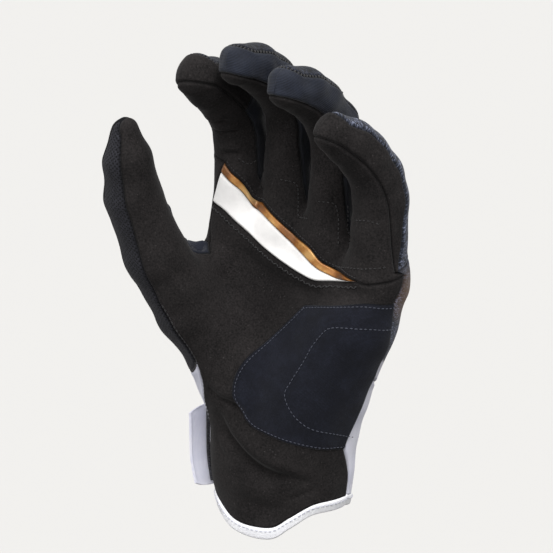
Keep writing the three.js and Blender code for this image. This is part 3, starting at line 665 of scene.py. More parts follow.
class Pattern:
    """All the seams of the glove and the patches of skin between them."""

    def __init__(self) -> None:
        """Lays out the digits first, then the palm, the back and the cuff."""
        kinds = (Halves.INDEX, Halves.MIDDLE, Halves.MIDDLE, Halves.LITTLE)
        self.digits = [DigitPattern(shape, HAND.finger(i), FINGER_START[i], kinds[i])
                       for i, shape in enumerate(HAND.fingers)]
        self.thumb = DigitPattern(HAND.thumb, HAND.hand, THUMB_START, Halves.THUMB, THUMB_LIFTS,
                                  THUMB_ACROSS)
        self.front = [digit.face(True) for digit in self.digits]
        self.back = [digit.face(False) for digit in self.digits]
        self.web_front = self.part_fingers(self.front)
        self.web_back = self.part_fingers(self.back)
        self.lay_palm()
        self.lay_thumb()
        self.lay_sides()
        self.lay_back()

    @staticmethod
    def part_fingers(faces: list[Array]) -> list[Array]:
        """Settles the base rows of neighbouring faces on the hand and joins them in the notches."""
        webs = [dropped((a[0, -1, :3] + b[0, 0, :3]) / 2) for a, b in zip(faces[:-1], faces[1:])]
        for i, rows in enumerate(faces):
            spots = []
            if i > 0:
                spots.append((0, webs[i - 1]))
            if i < len(webs):
                spots.append((rows.shape[1] - 1, webs[i]))
            bent = bend_base(rows, settle(HAND.hand, rows[0, :, :3]), spots)
            base = settle(HAND.hand, bent[0, :, :3])
            for column, web in spots:
                base[column] = web
            bent[0] = base
            faces[i] = bent
        return webs

    def lay_palm(self) -> None:
        """Named points of the palm, the edges of the two strips and of the heel patch."""
        points = {
            "web_front": (-28.5, -17, 124), "web_back": (-38, -7, 120), "strip_top": (-24.4, -9, 165.8),
            "gold_low": (-26, -9, 161.8), "strip_low": (-31.4, -7.8, 147.6),
            "strip_end": (46, -18, 119.6),
            "heel_in_top": (19, -16, 106), "heel_out_top": (61, -10, 109.5),
            "heel_out_low": (36.5, -8, 39), "heel_in_low": (-6.6, -25, 52.3),
            "wrist_radial": (-28, -13, 47), "wrist_back": (-20, 14, 66), "seam_end": (61.5, -6, 122),
            "cuff_radial": (-28, -9, 13), "cuff_ulnar": (33.5, 0, 15.5),
        }
        self.at = dict(zip(points, on_hand(*points.values())))
        at = self.at
        self.gold_top = seam_from(at["strip_top"], [
            (-21.1, -8.9, 161.5), (-17.8, -8, 158.2), (-11.8, -6.5, 150.8), (-5.4, -7.8, 147.4),
            (0.1, -9.5, 143.6), (11.1, -9.1, 135.5), (19.7, -12.5, 131.1), (26.2, -11.7, 125),
            (38.5, -14.5, 121.1)], at["strip_end"], STRIP_CELLS)
        self.gold_low = seam_from(at["gold_low"], [
            (-21.8, -9.3, 157.6), (-17.4, -8, 153.4), (-12.2, -6.5, 146.9), (-4.8, -8.5, 142.9),
            (1.3, -10.2, 138.8), (7.9, -9.5, 133.3), (15.9, -11.7, 127.8), (26.9, -11.4, 120.4),
            (38, -15.5, 118.8)], at["strip_end"], STRIP_CELLS)
        self.white_low = seam_from(at["strip_low"], [
            (-24.4, -11.1, 144.5), (-18.8, -11.7, 140.3), (-12.3, -10.8, 135.3), (-1.9, -10.6, 127.6),
            (9, -11.6, 121.8), (16.4, -12.7, 118.8), (23.4, -12.9, 116.7), (34, -13.4, 117.4)],
            at["strip_end"], STRIP_CELLS)
        self.crease = seam_from(at["strip_end"], [(50, -18, 118.6), (56, -14, 119.6)],
                                at["seam_end"], CREASE_CELLS)
        self.heel_left = seam_from(at["heel_in_low"], [
            (-10.4, -25.7, 59.3), (-11.8, -26.7, 67), (-8.5, -25.3, 76.7), (2, -20, 89)],
                                   at["heel_in_top"], HEEL_ROWS)
        self.heel_top = seam_from(at["heel_in_top"], [(44, -21, 110)], at["heel_out_top"], HEEL_ACROSS)
        self.heel_low = seam_from(at["heel_in_low"], [
            (-2.6, -24.9, 48.9), (7, -25.6, 45.7), (23.5, -22.3, 42)],
                                  at["heel_out_low"], HEEL_ACROSS)
        self.heel_right = seam_from(at["heel_out_low"], [(49.5, -7, 71)], at["heel_out_top"], HEEL_ROWS)
        self.wrist_line = seam_from(at["wrist_radial"], [(-19, -25, 52)], at["heel_in_low"],
                                    THUMB_ACROSS + PALM_TO_HEEL)
        self.cuff_front = seam_from(at["cuff_radial"], [
            (-25, -17, 9), (-13, -22, 3), (6, -23, 2), (15, -22, 7.6), (25, -18, 14)],
            at["cuff_ulnar"], THUMB_ACROSS + PALM_TO_HEEL + HEEL_ACROSS)
        self.radial_seam = seam_from(at["cuff_radial"], [(-28, -11, 32)], at["wrist_radial"], CUFF_ROWS)
        self.ulnar_seam = seam_from(at["cuff_ulnar"], [(34, -2, 28)], at["heel_out_low"], CUFF_ROWS)
        self.inner_line = seam_from(at["web_front"], [(-8, -14, 112)], at["heel_in_top"], PALM_TO_HEEL)
        self.web_to_strip = seam_from(at["web_front"], [(-33, -10, 136)], at["strip_low"], SHORT_ROWS)
        self.heel_to_end = straight(at["heel_out_top"], at["seam_end"], SHORT_ROWS)

    def lay_thumb(self) -> None:
        """Front and back of the thumb, both drawn to the web, and the gusset between them."""
        at = self.at
        faces = []
        for front, web in ((True, "web_front"), (False, "web_back")):
            rows = self.thumb.face(front)
            bent = bend_base(rows, rows[0], [(rows.shape[1] - 1, at[web])])
            bent[:FINE + 1] = settle(HAND.hand, bent[:FINE + 1, :, :3])
            bent[0, -1] = at[web]
            faces.append(bent)
        self.thumb_front, self.thumb_back = faces
        self.thumb_seam = seam_from(at["wrist_radial"], [(-28, -25, 69), (-33, -36, 88)],
                                    self.thumb_front[0, 0], HEEL_ROWS)
        self.web_crotch = seam_from(at["web_front"], [(-33, -13, 130)], at["web_back"], SIDE_COLUMNS)
        rows = self.thumb.band(1, THUMB_SEAM)[:GUSSET_ROWS * FINE + 1]
        rows = bend_base(rows, self.web_crotch)
        count = len(rows)
        self.web_gusset = fit_edges(rows, self.thumb_front[:count, -1], self.thumb_back[:count, -1])

    def lay_sides(self) -> None:
        """Gussets between the fingers and the outer sides of the index and little fingers."""
        at = self.at
        columns = np.arange(SIDE_COLUMNS * FINE + 1)[:, None] / (SIDE_COLUMNS * FINE)
        self.gussets = []
        for i in range(3):
            crotch = dropped(lerp(self.web_front[i][:3], self.web_back[i][:3], columns))
            crotch[0], crotch[-1] = self.web_front[i], self.web_back[i]
            halves = []
            for finger, side in ((i, 1), (i + 1, 0)):
                band = bend_base(self.digits[finger].band(side, TIP_SEAM[finger]), crotch)
                halves.append(fit_edges(band, rim_of(self.front[finger], side, len(band)),
                                        rim_of(self.back[finger], side, len(band))))
            self.gussets.append(np.concatenate([halves[0][:0:-1], halves[1]]))
        self.strip_side = straight(at["strip_low"], at["gold_low"], BLOCK_ROWS)
        self.band_front = joined(
            self.web_to_strip, self.strip_side, straight(at["gold_low"], at["strip_top"], 1),
            straight(at["strip_top"], self.front[0][0, 0], BLOCK_ROWS))
        self.band_back = seam_from(at["web_back"], [(-38, 0, 132), (-36, 5, 147)], self.back[0][0, 0],
                                   (len(self.band_front) - 1) // FINE)
        base = straight(self.band_front[-1], self.band_back[-1], SIDE_COLUMNS)
        band = bend_base(self.digits[0].band(0, TIP_SEAM[0]), base)
        self.index_band = fit_edges(band, rim_of(self.front[0], 0, len(band)),
                                    rim_of(self.back[0], 0, len(band)))
        self.index_root = fill(self.web_crotch, base, self.band_front, self.band_back)
        base = straight(self.front[3][0, -1], self.back[3][0, -1], SIDE_COLUMNS)
        band = bend_base(self.digits[3].band(1, TIP_SEAM[3]), base)
        self.little_band = fit_edges(band, rim_of(self.front[3], 1, len(band)),
                                     rim_of(self.back[3], 1, len(band)))

    def lay_back(self) -> None:
        """The back of the hand, the root of the thumb and the back of the cuff."""
        at = self.at
        rise = CUFF_RISE * FINE
        self.back_line = seam_from(self.thumb_seam[rise], [(-28, 4, 71)], at["wrist_back"],
                                   THUMB_ACROSS)
        self.dorsal_seam = seam_from(at["wrist_back"], [(-27, 12, 82), (-35, 6, 102)],
                                     at["web_back"], HEEL_ROWS - CUFF_RISE)
        self.knuckles = joined(*[rows[0] for rows in self.back])
        knuckle_cells = (len(self.knuckles) - 1) // FINE
        self.back_low = seam_from(at["wrist_back"], [(0, 20, 64), (28, 12, 66)],
                                  self.heel_right[rise], knuckle_cells)
        self.thumb_root = fill(self.back_line, self.thumb_back[0], self.thumb_seam[rise:],
                               self.dorsal_seam)
        right = joined(self.heel_right[rise:], self.heel_to_end,
                       straight(at["seam_end"], self.knuckles[-1], TOP_ROWS))
        self.back_rows = fill(self.back_low, self.knuckles, joined(self.dorsal_seam, self.band_back),
                              right, BACK_BULGE)
        self.cuff_back = seam_from(at["cuff_radial"], [(-20, 18, 11), (0, 22, 10), (20, 18, 12)],
                                   at["cuff_ulnar"], THUMB_ACROSS + knuckle_cells)
        self.cuff_rows = fill(self.cuff_back, joined(self.back_line, self.back_low),
                              joined(self.radial_seam, self.thumb_seam[:rise + 1]),
                              joined(self.ulnar_seam, self.heel_right[:rise + 1]), BACK_BULGE)


# Relief: what lifts or sinks the cloth from the plain form

CHUNK = 600  # samples measured against a line in one go
SWELL_AT = 2.6  # all four in widths of the groove or fold
SWELL_WIDTH = 1.8
RIDGE_AT = 2
RIDGE_WIDTH = 1.5
END_FADE = 0.7


def nearest(points: Array, line: Array) -> tuple[Array, Array]:
    """Nearest place of a line for every point.

    Args:
        points: N points.
        line: M points along the line.

    Returns:
        Distances, and the index of the nearest point of the line.
    """
    far, which = [], []
    size = (line * line).sum(1)
    for part in np.array_split(points, max(1, len(points) // CHUNK)):
        square = (part * part).sum(1)[:, None] + size - 2 * part @ line.T
        best = square.argmin(1)
        which.append(best)
        far.append(np.linalg.norm(part - line[best], axis=1))
    return np.concatenate(far), np.concatenate(which)


@dataclass
class Groove:
    """A sewn line: it pulls the cloth in, and the cloth swells a little beside it.

    Height = -depth * exp(-(d / width)^2) + swell * exp(-((d - 2.6 width) / (1.8 width))^2), with d
    the distance from the line.
    """

    line: Array
    depth: float = 0.7
    width: float = 0.7
    swell: float = 0.3

    def height(self, samples: Array) -> Array:
        """Height at samples."""
        d, _ = nearest(samples[:, :3], self.line[:, :3])
        w = self.width
        beside_it = np.exp(-((d - SWELL_AT * w) / (SWELL_WIDTH * w)) ** 2)
        return -self.depth * np.exp(-(d / w) ** 2) + self.swell * beside_it


@dataclass
class Fold:
    """A crease with a ridge beside it, both fading out at the ends of its line.

    Height = fade * (-depth * exp(-(s / width)^2) + ridge * exp(-((s - 2 width) / (1.5 width))^2)),
    with s the distance from the line, positive on its left as seen from outside. On the other side
    the width is larger by the factor gentle.
    """

    line: Array
    depth: float
    width: float
    ridge: float = 0.0
    side: int = 1
    gentle: float = 1.0

    def height(self, samples: Array) -> Array:
        """Height at samples."""
        d, i = nearest(samples[:, :3], self.line[:, :3])
        along = unit(np.gradient(self.line[:, :3], axis=0))[i]
        off = samples[:, :3] - self.line[i, :3]
        s = d * np.sign((np.cross(self.line[i, 3:], along) * off).sum(1)) * self.side
        t = i / (len(self.line) - 1)
        fade = np.sin(np.pi * t) ** END_FADE
        w = self.width
        deep = -self.depth * np.exp(-(s / np.where(s < 0, w * self.gentle, w)) ** 2)
        return fade * (deep + self.ridge * np.exp(-((s - RIDGE_AT * w) / (RIDGE_WIDTH * w)) ** 2))


@dataclass
class Crumple:
    """Slack cloth: a sum of waves in random directions, the same on every run."""

    size: float
    wavelength: float
    seed: int = 5
    waves: int = 14

    def height(self, samples: Array) -> Array:
        """Height at samples."""
        draw = np.random.default_rng(self.seed)
        heading = unit(draw.normal(size=(self.waves, 3)))
        heading *= 2 * np.pi / (self.wavelength * draw.uniform(0.7, 1.6, (self.waves, 1)))
        phase = draw.uniform(0, 2 * np.pi, self.waves)
        return self.size * np.cos(samples[:, :3] @ heading.T + phase).sum(1) / math.sqrt(self.waves / 2)


@dataclass
class Raised:
    """A whole layer of cloth higher than its neighbours."""

    rise: float

    def height(self, samples: Array) -> Array:
        """Height at samples."""
        return np.full(len(samples), self.rise)


@dataclass
class Relief:
    """All features of one panel added up."""

    features: list

    def height(self, samples: Array) -> Array:
        """Height at samples of any shape."""
        flat = samples.reshape(-1, 6)
        total = sum((feature.height(flat) for feature in self.features), np.zeros(len(flat)))
        return total.reshape(samples.shape[:-1])

    def lifted(self, samples: Array, more: float = 0.0) -> Array:
        """Points of the finished surface at samples."""
        return samples[..., :3] + samples[..., 3:] * (self.height(samples) + more)[..., None]


def beside(line: Array, off: float) -> Array:
    """A line moved sideways over the skin, to its left as seen from outside when off is positive."""
    along = unit(np.gradient(line[:, :3], axis=0))
    return settle(HAND.hand, line[:, :3] + np.cross(line[:, 3:], along) * off)


# Meshes

def write_mesh(name: str, points: Array, faces: Sequence[Sequence[int]], uv: Array | None = None,
               seam_mm: Array | None = None) -> Piece:
    """Makes an object from points in millimetres.

    Args:
        name: name of the piece.
        points: vertex places.
        faces: vertex numbers of each face.
        uv: two numbers for each vertex, in millimetres over the cloth.
        seam_mm: distance of each vertex from the nearest seam.

    Returns:
        The object, smooth shaded.
    """
    mesh = bpy.data.meshes.new(name)
    mesh.from_pydata((points * MM).tolist(), [], faces)
    mesh.polygons.foreach_set("use_smooth", np.ones(len(mesh.polygons), bool))
    if uv is not None:
        corner = np.empty(len(mesh.loops), np.int32)
        mesh.loops.foreach_get("vertex_index", corner)
        mesh.uv_layers.new(name="cloth").data.foreach_set("uv", uv[corner].astype(np.float32).ravel())
    if seam_mm is not None:
        mesh.attributes.new("seam_mm", "FLOAT", "POINT").data.foreach_set("value", seam_mm)
    mesh.update()
    obj = bpy.data.objects.new(name, mesh)
    bpy.context.scene.collection.objects.link(obj)
    return obj


def cloth_run(rows: Array) -> Array:
    """Cloth coordinates of a patch: arc length along each row from its middle, and along the patch."""
    p = rows[..., :3]
    across = np.linalg.norm(np.diff(p, axis=1), axis=-1)
    u = np.concatenate([np.zeros((len(p), 1)), np.cumsum(across, axis=1)], axis=1)
    u = u - u[:, -1:] / 2
    along = np.linalg.norm(np.diff(p, axis=0), axis=-1).mean(1)
    v = np.concatenate([[0], np.cumsum(along)])
    return np.stack([u, np.broadcast_to(v[:, None], u.shape)], axis=-1)


def wrapped(rows: int, columns: int) -> Array:
    """Numbers of a grid of vertices whose rows close on themselves."""
    i = np.arange(rows * columns).reshape(rows, columns)
    return np.concatenate([i, i[:, :1]], axis=1)


def quads_of(i: Array) -> Array:
    """Corner numbers of the quads of a grid of vertex numbers."""
    return np.stack([i[:-1, :-1], i[:-1, 1:], i[1:, 1:], i[1:, :-1]], axis=-1).reshape(-1, 4)


def rim_edges(faces: list[Array]) -> Array:
    """Directed edges that only one face uses, out of lists of faces with equal corner counts."""
    edges = np.concatenate([np.stack([f, np.roll(f, -1, axis=1)], -1).reshape(-1, 2) for f in faces])
    edges = edges[edges[:, 0] != edges[:, 1]]
    big = edges.max() + 1
    code, back = edges[:, 0] * big + edges[:, 1], edges[:, 1] * big + edges[:, 0]
    return edges[~np.isin(code, back)]


WELD_STEPS = 1000  # samples that agree to a thousandth of a millimetre are one vertex
PLAIN_REACH = 0.3
NO_SEAM = 9.0  # distance from a seam, in millimetres, at which no shade is drawn
INNER_SIDE = 20


def cloth_shell(name: str, patches: Sequence[Array], relief: Relief, wall: float = WALL,
                plain: Sequence[Array] = ()) -> Piece:
    """Builds one cloth panel as a closed shell.

    The patches are welded where they share samples. The outer side is each sample moved along its
    outward direction by the relief, the inner side lies one wall further in, and a rim joins them.

    Args:
        name: name of the piece.
        patches: grids of samples.
        relief: height of the outer side over the form.
        wall: thickness.
        plain: lines at which the panel ends without a seam, so that no seam shade is drawn there.

    Returns:
        The object.
    """
    samples = np.concatenate([rows.reshape(-1, 6) for rows in patches])
    uv = np.concatenate([cloth_run(rows).reshape(-1, 2) for rows in patches])
    start, faces = 0, []
    for rows in patches:
        flat = rows.reshape(-1, 6)
        quad = quads_of(np.arange(len(flat)).reshape(rows.shape[:2]))
        a, b, c, d = (flat[quad[:, k], :3] for k in range(4))
        if (np.cross(c - a, d - b) * flat[quad[:, 0], 3:]).sum() < 0:
            quad = quad[:, ::-1]
        faces.append(quad + start)
        start += len(flat)
    key = np.round(samples[:, :3] * WELD_STEPS).astype(np.int64)
    _, first, back = np.unique(key, axis=0, return_index=True, return_inverse=True)
    samples, uv = samples[first], uv[first]
    quad = back.reshape(-1)[np.concatenate(faces)]
    same = quad == np.roll(quad, -1, axis=1)
    twins = same.sum(1)
    whole, bent = quad[twins == 0], quad[twins == 1]
    tri = bent[~same[twins == 1]].reshape(-1, 3)
    faces = [whole, tri]
    rim = rim_edges(faces)
    edge = samples[np.unique(rim), :3]
    for line in plain:
        edge = edge[nearest(edge, line[:, :3])[0] > PLAIN_REACH]
    seam_mm = nearest(samples[:, :3], edge)[0] if len(edge) else np.full(len(samples), NO_SEAM)
    outer = relief.lifted(samples)
    inner = outer - samples[:, 3:] * wall
    n = len(samples)
    a, b = rim[:, 0], rim[:, 1]
    around = np.stack([b, a, a + n, b + n], axis=-1)
    every = [*whole.tolist(), *tri.tolist(), *(whole[:, ::-1] + n).tolist(),
             *(tri[:, ::-1] + n).tolist(), *around.tolist()]
    obj = write_mesh(name, np.concatenate([outer, inner]), every, np.concatenate([uv, uv]),
                     np.concatenate([seam_mm, seam_mm + INNER_SIDE]).astype(np.float32))
    obj.data.polygons.foreach_set("use_smooth", np.arange(len(every)) < len(every) - len(around))
    return obj


def carried(name: str, centre: Array, first: Array, second: Array, profile: Array,
            closed: bool) -> Piece:
    """Carries a closed profile along a path.

    Each path point carries the profile (x, y) at centre + first * x + second * y.

    Args:
        name: name of the piece.
        centre: path points.
        first: direction of the profile's x at each path point.
        second: direction of its y.
        profile: profile points, in order.
        closed: whether the path closes on itself.

    Returns:
        The object, its ends capped if the path is open.
    """
    x, y = profile[None, :, :1], profile[None, :, 1:]
    rows = centre[:, None] + first[:, None] * x + second[:, None] * y
    m, n = rows.shape[:2]
    i = wrapped(m, n)
    if closed:
        i = np.concatenate([i, i[:1]], axis=0)
    quad = quads_of(i)
    faces = quad.tolist()
    if not closed:
        faces += [i[0, :-1][::-1].tolist(), i[-1, :-1].tolist()]
    p = rows.reshape(-1, 3)
    around = np.cumsum(np.linalg.norm(np.roll(profile, -1, 0) - profile, axis=1))
    run = np.concatenate([[0], np.cumsum(np.linalg.norm(np.diff(centre, axis=0), axis=1))])
    uv = np.stack(np.broadcast_arrays(around[None, :], run[:, None]), -1).reshape(-1, 2)
    obj = write_mesh(name, p, faces, uv, np.full(len(p), NO_SEAM, np.float32))
    volume = np.einsum("ij,ij->i", p[quad[:, 0]], np.cross(p[quad[:, 1]], p[quad[:, 2]])).sum()
    volume += np.einsum("ij,ij->i", p[quad[:, 0]], np.cross(p[quad[:, 2]], p[quad[:, 3]])).sum()
    if volume < 0:
        obj.data.flip_normals()
    return obj


STITCH_LEAN = 0.25  # lean of an overlock stitch, as a share of its length
STITCH_LIFT = 0.35  # the next three are shares of the thread's radius
STITCH_BOW = 0.8
STITCH_END = 0.02


class StitchKind(Enum):
    """How a row of stitches runs."""

    STRAIGHT = "straight"
    ZIGZAG = "zigzag"
    OVERLOCK = "overlock"


@dataclass
class StitchRow:
    """A row of sewing thread on the cloth.

    Every stitch is one short bowed capsule: a ring of six points carried along a half sine, its
    radius running out at both ends as sqrt(1 - t^2).
    """

    line: Array
    relief: Relief
    pitch: float = 2.6
    length: float = 1.9
    radius: float = 0.24
    kind: StitchKind = StitchKind.STRAIGHT
    wide: float = 1.6
    sides: int = 6
    rings: int = 5

    def meshes(self) -> tuple[Array, Array]:
        """Points and quads of all stitches of the row."""
        p = self.line[:, :3]
        run = np.concatenate([[0], np.cumsum(np.linalg.norm(np.diff(p, axis=0), axis=1))])
        count = max(1, int(run[-1] / self.pitch))
        goals = (np.arange(count) + 0.5) * run[-1] / count
        at = np.column_stack([np.interp(goals, run, self.line[:, k]) for k in range(6)])
        at[:, 3:] = unit(at[:, 3:])
        slope_of = np.gradient(p, axis=0)
        along = unit(np.column_stack([np.interp(goals, run, slope_of[:, k]) for k in range(3)]))
        along = unit(along - at[:, 3:] * (along * at[:, 3:]).sum(1, keepdims=True))
        side = np.cross(at[:, 3:], along)
        if self.kind is StitchKind.ZIGZAG:
            sway = np.where(np.arange(count) % 2 == 0, 1, -1)[:, None] * self.wide
            along = along * self.length + side * sway
        elif self.kind is StitchKind.OVERLOCK:
            along = side * self.wide + along * self.length * STITCH_LEAN
        else:
            along = along * self.length
        long = np.linalg.norm(along, axis=1, keepdims=True)
        along = along / long
        side = np.cross(at[:, 3:], along)
        t = np.linspace(-1, 1, self.rings + 2)
        thick = self.radius * np.sqrt(np.maximum(1 - t ** 2, STITCH_END))
        turn = np.arange(self.sides) * 2 * np.pi / self.sides
        base = self.relief.lifted(at, self.radius * STITCH_LIFT)[:, None, None]
        bow = np.cos(t * np.pi / 2)[None, :, None, None] * self.radius * STITCH_BOW
        thick = thick[None, :, None, None]
        rows = base + along[:, None, None] * (t[None, :, None, None] * long[:, :, None, None] / 2)
        rows = rows + at[:, None, None, 3:] * (bow + thick * np.sin(turn)[None, None, :, None])
        rows = rows + side[:, None, None] * (thick * np.cos(turn)[None, None, :, None])
        rings = len(t)
        quad = quads_of(wrapped(rings, self.sides))[:, [1, 2, 3, 0]]
        steps = np.arange(count)[:, None, None] * rings * self.sides
        return rows.reshape(-1, 3), (quad[None] + steps).reshape(-1, 4)


def sew(name: str, rows: Sequence[StitchRow]) -> Piece:
    """Makes one thread piece out of rows of stitches."""
    points, faces, start = [], [], 0
    for row in rows:
        p, quad = row.meshes()
        points.append(p)
        faces.append(quad + start)
        start += len(p)
    places = np.concatenate(points)
    return write_mesh(name, places, np.concatenate(faces).tolist(), places[:, :2] * 0)


# Finishes

Surface = tuple[Socket, Socket, float]  # colour, height from 0 to 1, full height in millimetres
SHEEN_ROUGHNESS = 0.45
GRAIN_ROUGHNESS = 0.6
WAVE_PERIOD = math.pi / 10  # length of one wave of the wave texture at scale 1
SOFT_EDGE = 0.3  # half width of the change at the edge of a print


class Node(Enum):
    """Kinds of node: type, the inputs that the values given to add go to, output and settings."""

    PLACE = "TexCoord", (), "Object", {}
    SKY = "TexCoord", (), "Generated", {}
    CLOTH = "UVMap", (), "UV", {"uv_map": "cloth"}
    SEAM = "Attribute", (), "Fac", {"attribute_name": "seam_mm"}
    SEEN = "LightPath", (), "Is Camera Ray", {}
    HEIGHT = "SeparateXYZ", (0,), "Z", {}
    TURNED = "Mapping", ("Vector", "Rotation", "Scale"), "Vector", {}
    DOT = "VectorMath", (0, 1), "Value", {"operation": "DOT_PRODUCT"}
    DISTANCE = "VectorMath", (0, 1), "Value", {"operation": "DISTANCE"}
    SPAN = "MapRange", ("Value", "From Min", "From Max"), "Result", {}
    NOISE = "TexNoise", ("Vector", "Scale", "Detail", "Roughness"), "Fac", {}
    WAVE = "TexWave", ("Vector", "Scale", "Distortion", "Detail", "Detail Scale"), "Fac", {}
    CELLS = "TexVoronoi", ("Vector", "Scale", "Randomness"), "Distance", {"voronoi_dimensions": "2D"}
    PLUS = "Math", (0, 1), 0, {"operation": "ADD"}
    LESS = "Math", (0, 1), 0, {"operation": "SUBTRACT"}
    TIMES = "Math", (0, 1), 0, {"operation": "MULTIPLY"}
    MIX = "Mix", (0, 6, 7), 2, {"data_type": "RGBA"}
    MULTIPLY = "Mix", (0, 6, 7), 2, {"data_type": "RGBA", "blend_type": "MULTIPLY"}
    RAMP = "ValToRGB", ("Fac",), "Color", {}
    BUMP = "Bump", ("Height", "Distance"), "Normal", {}


def add(tree: Tree, kind: Node, *values: object, stops: Sequence[tuple[float, object]] = (),
        **more: object) -> Socket:
    """Adds a node.

    Args:
        tree: node tree.
        kind: kind of the node.
        values: value or output socket for each of its inputs.
        stops: places of a ramp with hex colours or grey levels.
        more: further settings of the node.

    Returns:
        Its output.
    """
    name, inputs, output, settings = kind.value
    node = tree.nodes.new("ShaderNode" + name)
    for key, value in {**settings, **more}.items():
        setattr(node, key, value)
    for key, value in zip(inputs, values):
        if isinstance(value, Socket):
            tree.links.new(value, node.inputs[key])
        else:
            node.inputs[key].default_value = value
    for i, (place, colour) in enumerate(stops):
        points = node.color_ramp.elements
        point = points[i] if i < len(points) else points.new(1.0)
        point.position = place
        point.color = linear(colour) if isinstance(colour, str) else (colour, colour, colour, 1)
    return node.outputs[output]


def weigh(tree: Tree, *parts: tuple[Socket, float]) -> Socket:
    """Sum of values, each times its weight."""
    terms = [add(tree, Node.TIMES, value, weight) for value, weight in parts]
    total = terms[0]
    for term in terms[1:]:
        total = add(tree, Node.PLUS, total, term)
    return total


@dataclass(frozen=True)
class Finish:
    """Shared parts of every finish of the glove."""

    name: str
    colour: str
    slot: str
    roughness: float = 0.9
    sheen: float = 0.0
    specular: float = 0.25
    metallic: float = field(default=0.0, kw_only=True)

    def surface(self, tree: Tree) -> Surface:
        """Colour and relief; each finish has its own."""
        raise NotImplementedError

    def make(self) -> bpy.types.Material:
        """Builds the material: its even values, its colour and its fine relief."""
        material = bpy.data.materials.new(self.name)
        material.use_nodes = True
        tree = material.node_tree
        shader = tree.nodes["Principled BSDF"]
        even = {"Roughness": self.roughness, "Specular IOR Level": self.specular,
                "Metallic": self.metallic, "Sheen Weight": self.sheen,
                "Sheen Roughness": SHEEN_ROUGHNESS}
        for key, value in even.items():
            shader.inputs[key].default_value = value
        colour, height, millimetres = self.surface(tree)
        relief = add(tree, Node.BUMP, height, millimetres * MM)
        tree.links.new(colour, shader.inputs["Base Color"])
        tree.links.new(relief, shader.inputs["Normal"])
        return material

    @staticmethod
    def place(tree: Tree) -> Socket:
        """Object coordinates."""
        return add(tree, Node.PLACE)

    @staticmethod
    def cloth(tree: Tree) -> Socket:
        """Millimetres over the cloth, from the piece's own UV map."""
        return add(tree, Node.CLOTH)

    @staticmethod
    def grain(tree: Tree, where: Socket, millimetres: float, detail: float = 3) -> Socket:
        """Noise whose patches are about that many millimetres across, on Object coordinates."""
        return add(tree, Node.NOISE, where, 1 / (millimetres * MM), detail, GRAIN_ROUGHNESS)

    @staticmethod
    def threads(tree: Tree, over: Socket, pair: float, axis: str, wobble: float = 0.5,
                detail: float = 2, detail_scale: float = 1) -> Socket:
        """Waves along one axis of the cloth, two of them to every pair millimetres."""
        return add(tree, Node.WAVE, over, WAVE_PERIOD / pair * 2, wobble, detail, detail_scale,
                   bands_direction=axis)

    @staticmethod
    def cells(tree: Tree, where: Socket, randomness: float, scale: float = 1.0,
              degrees: float = 0, size: tuple[float, float] = (1, 1)) -> Socket:
        """Voronoi cells on the cloth, of a size in millimetres and turned by some degrees."""
        if degrees:
            where = add(tree, Node.TURNED, where, (0, 0, math.radians(degrees)),
                        (1 / size[0], 1 / size[1], 1))
        return add(tree, Node.CELLS, where, scale, randomness)

    @classmethod
    def beyond(cls, tree: Tree, direction: Spot,
               limit: float) -> Socket:
        """1 where the millimetres along a direction pass a limit, else 0, with a soft edge between."""
        far = add(tree, Node.DOT, cls.place(tree), direction)
        return add(tree, Node.SPAN, far, (limit - SOFT_EDGE) * MM, (limit + SOFT_EDGE) * MM)

    @classmethod
    def near(cls, tree: Tree, spot: Sequence[float], radius: float) -> Socket:
        """1 at a spot, falling to 0 at a radius from it, both in millimetres."""
        centre = tuple(v * MM for v in spot)
        far = add(tree, Node.DISTANCE, cls.place(tree), centre)
        return add(tree, Node.SPAN, far, radius * MM, 0.0)

    @staticmethod
    def seam_shade(tree: Tree, colour: Socket, depth: float,
                   reach: float = 1.0) -> Socket:
        """Painted shade: darkens the cloth within a reach of its seam, where it turns in."""
        dark = add(tree, Node.RAMP, add(tree, Node.SEAM), stops=((0.25 * reach, depth), (reach, 1.0)))
        return add(tree, Node.MULTIPLY, 1.0, colour, dark)


@dataclass(frozen=True)
class Suede(Finish):
    """Brushed microfibre suede: a short matt nap in soft lighter and darker patches, with lint."""

    light: str = "#3a3735"
    lint: str = "#545050"
    nap_mm: float = 0.8  # real nap is 0.1 mm, drawn at 0.8 mm so that it shows
    nap_depth: float = 0.12
    # painted light and shade: a lighter spot on the front of the thumb, painted shade under the strip
    # and at the wrist; x, y, z, radius, brightness
    painted_light_spots: tuple[tuple[float, ...], ...] = ((-42, -48, 135, 60, 1.15), (6, -14, 112, 34, 0.58),
                                           (0, -24, 30, 42, 0.66))

    def surface(self, tree: Tree) -> Surface:
        """Patches and nap, the spots of painted light and painted shade over them, then specks of lint.
        """
        where = self.place(tree)
        nap = self.grain(tree, where, self.nap_mm)
        both = weigh(tree, (self.grain(tree, where, 14), 0.3), (nap, 0.7))
        colour = add(tree, Node.RAMP, both, stops=((0.34, self.colour), (0.68, self.light)))
        # painted light and shade: each spot lightens or darkens the suede by its brightness
        for *spot, radius, factor in self.painted_light_spots:
            grey = (factor, factor, factor, 1)
            colour = add(tree, Node.MULTIPLY, self.near(tree, spot, radius), colour, grey)
        specks = add(tree, Node.RAMP, self.grain(tree, where, 0.7, 0), stops=((0.79, 0.0), (0.85, 0.4)))
        colour = add(tree, Node.MIX, specks, colour, linear(self.lint))
        return self.seam_shade(tree, colour, 0.45), nap, self.nap_depth


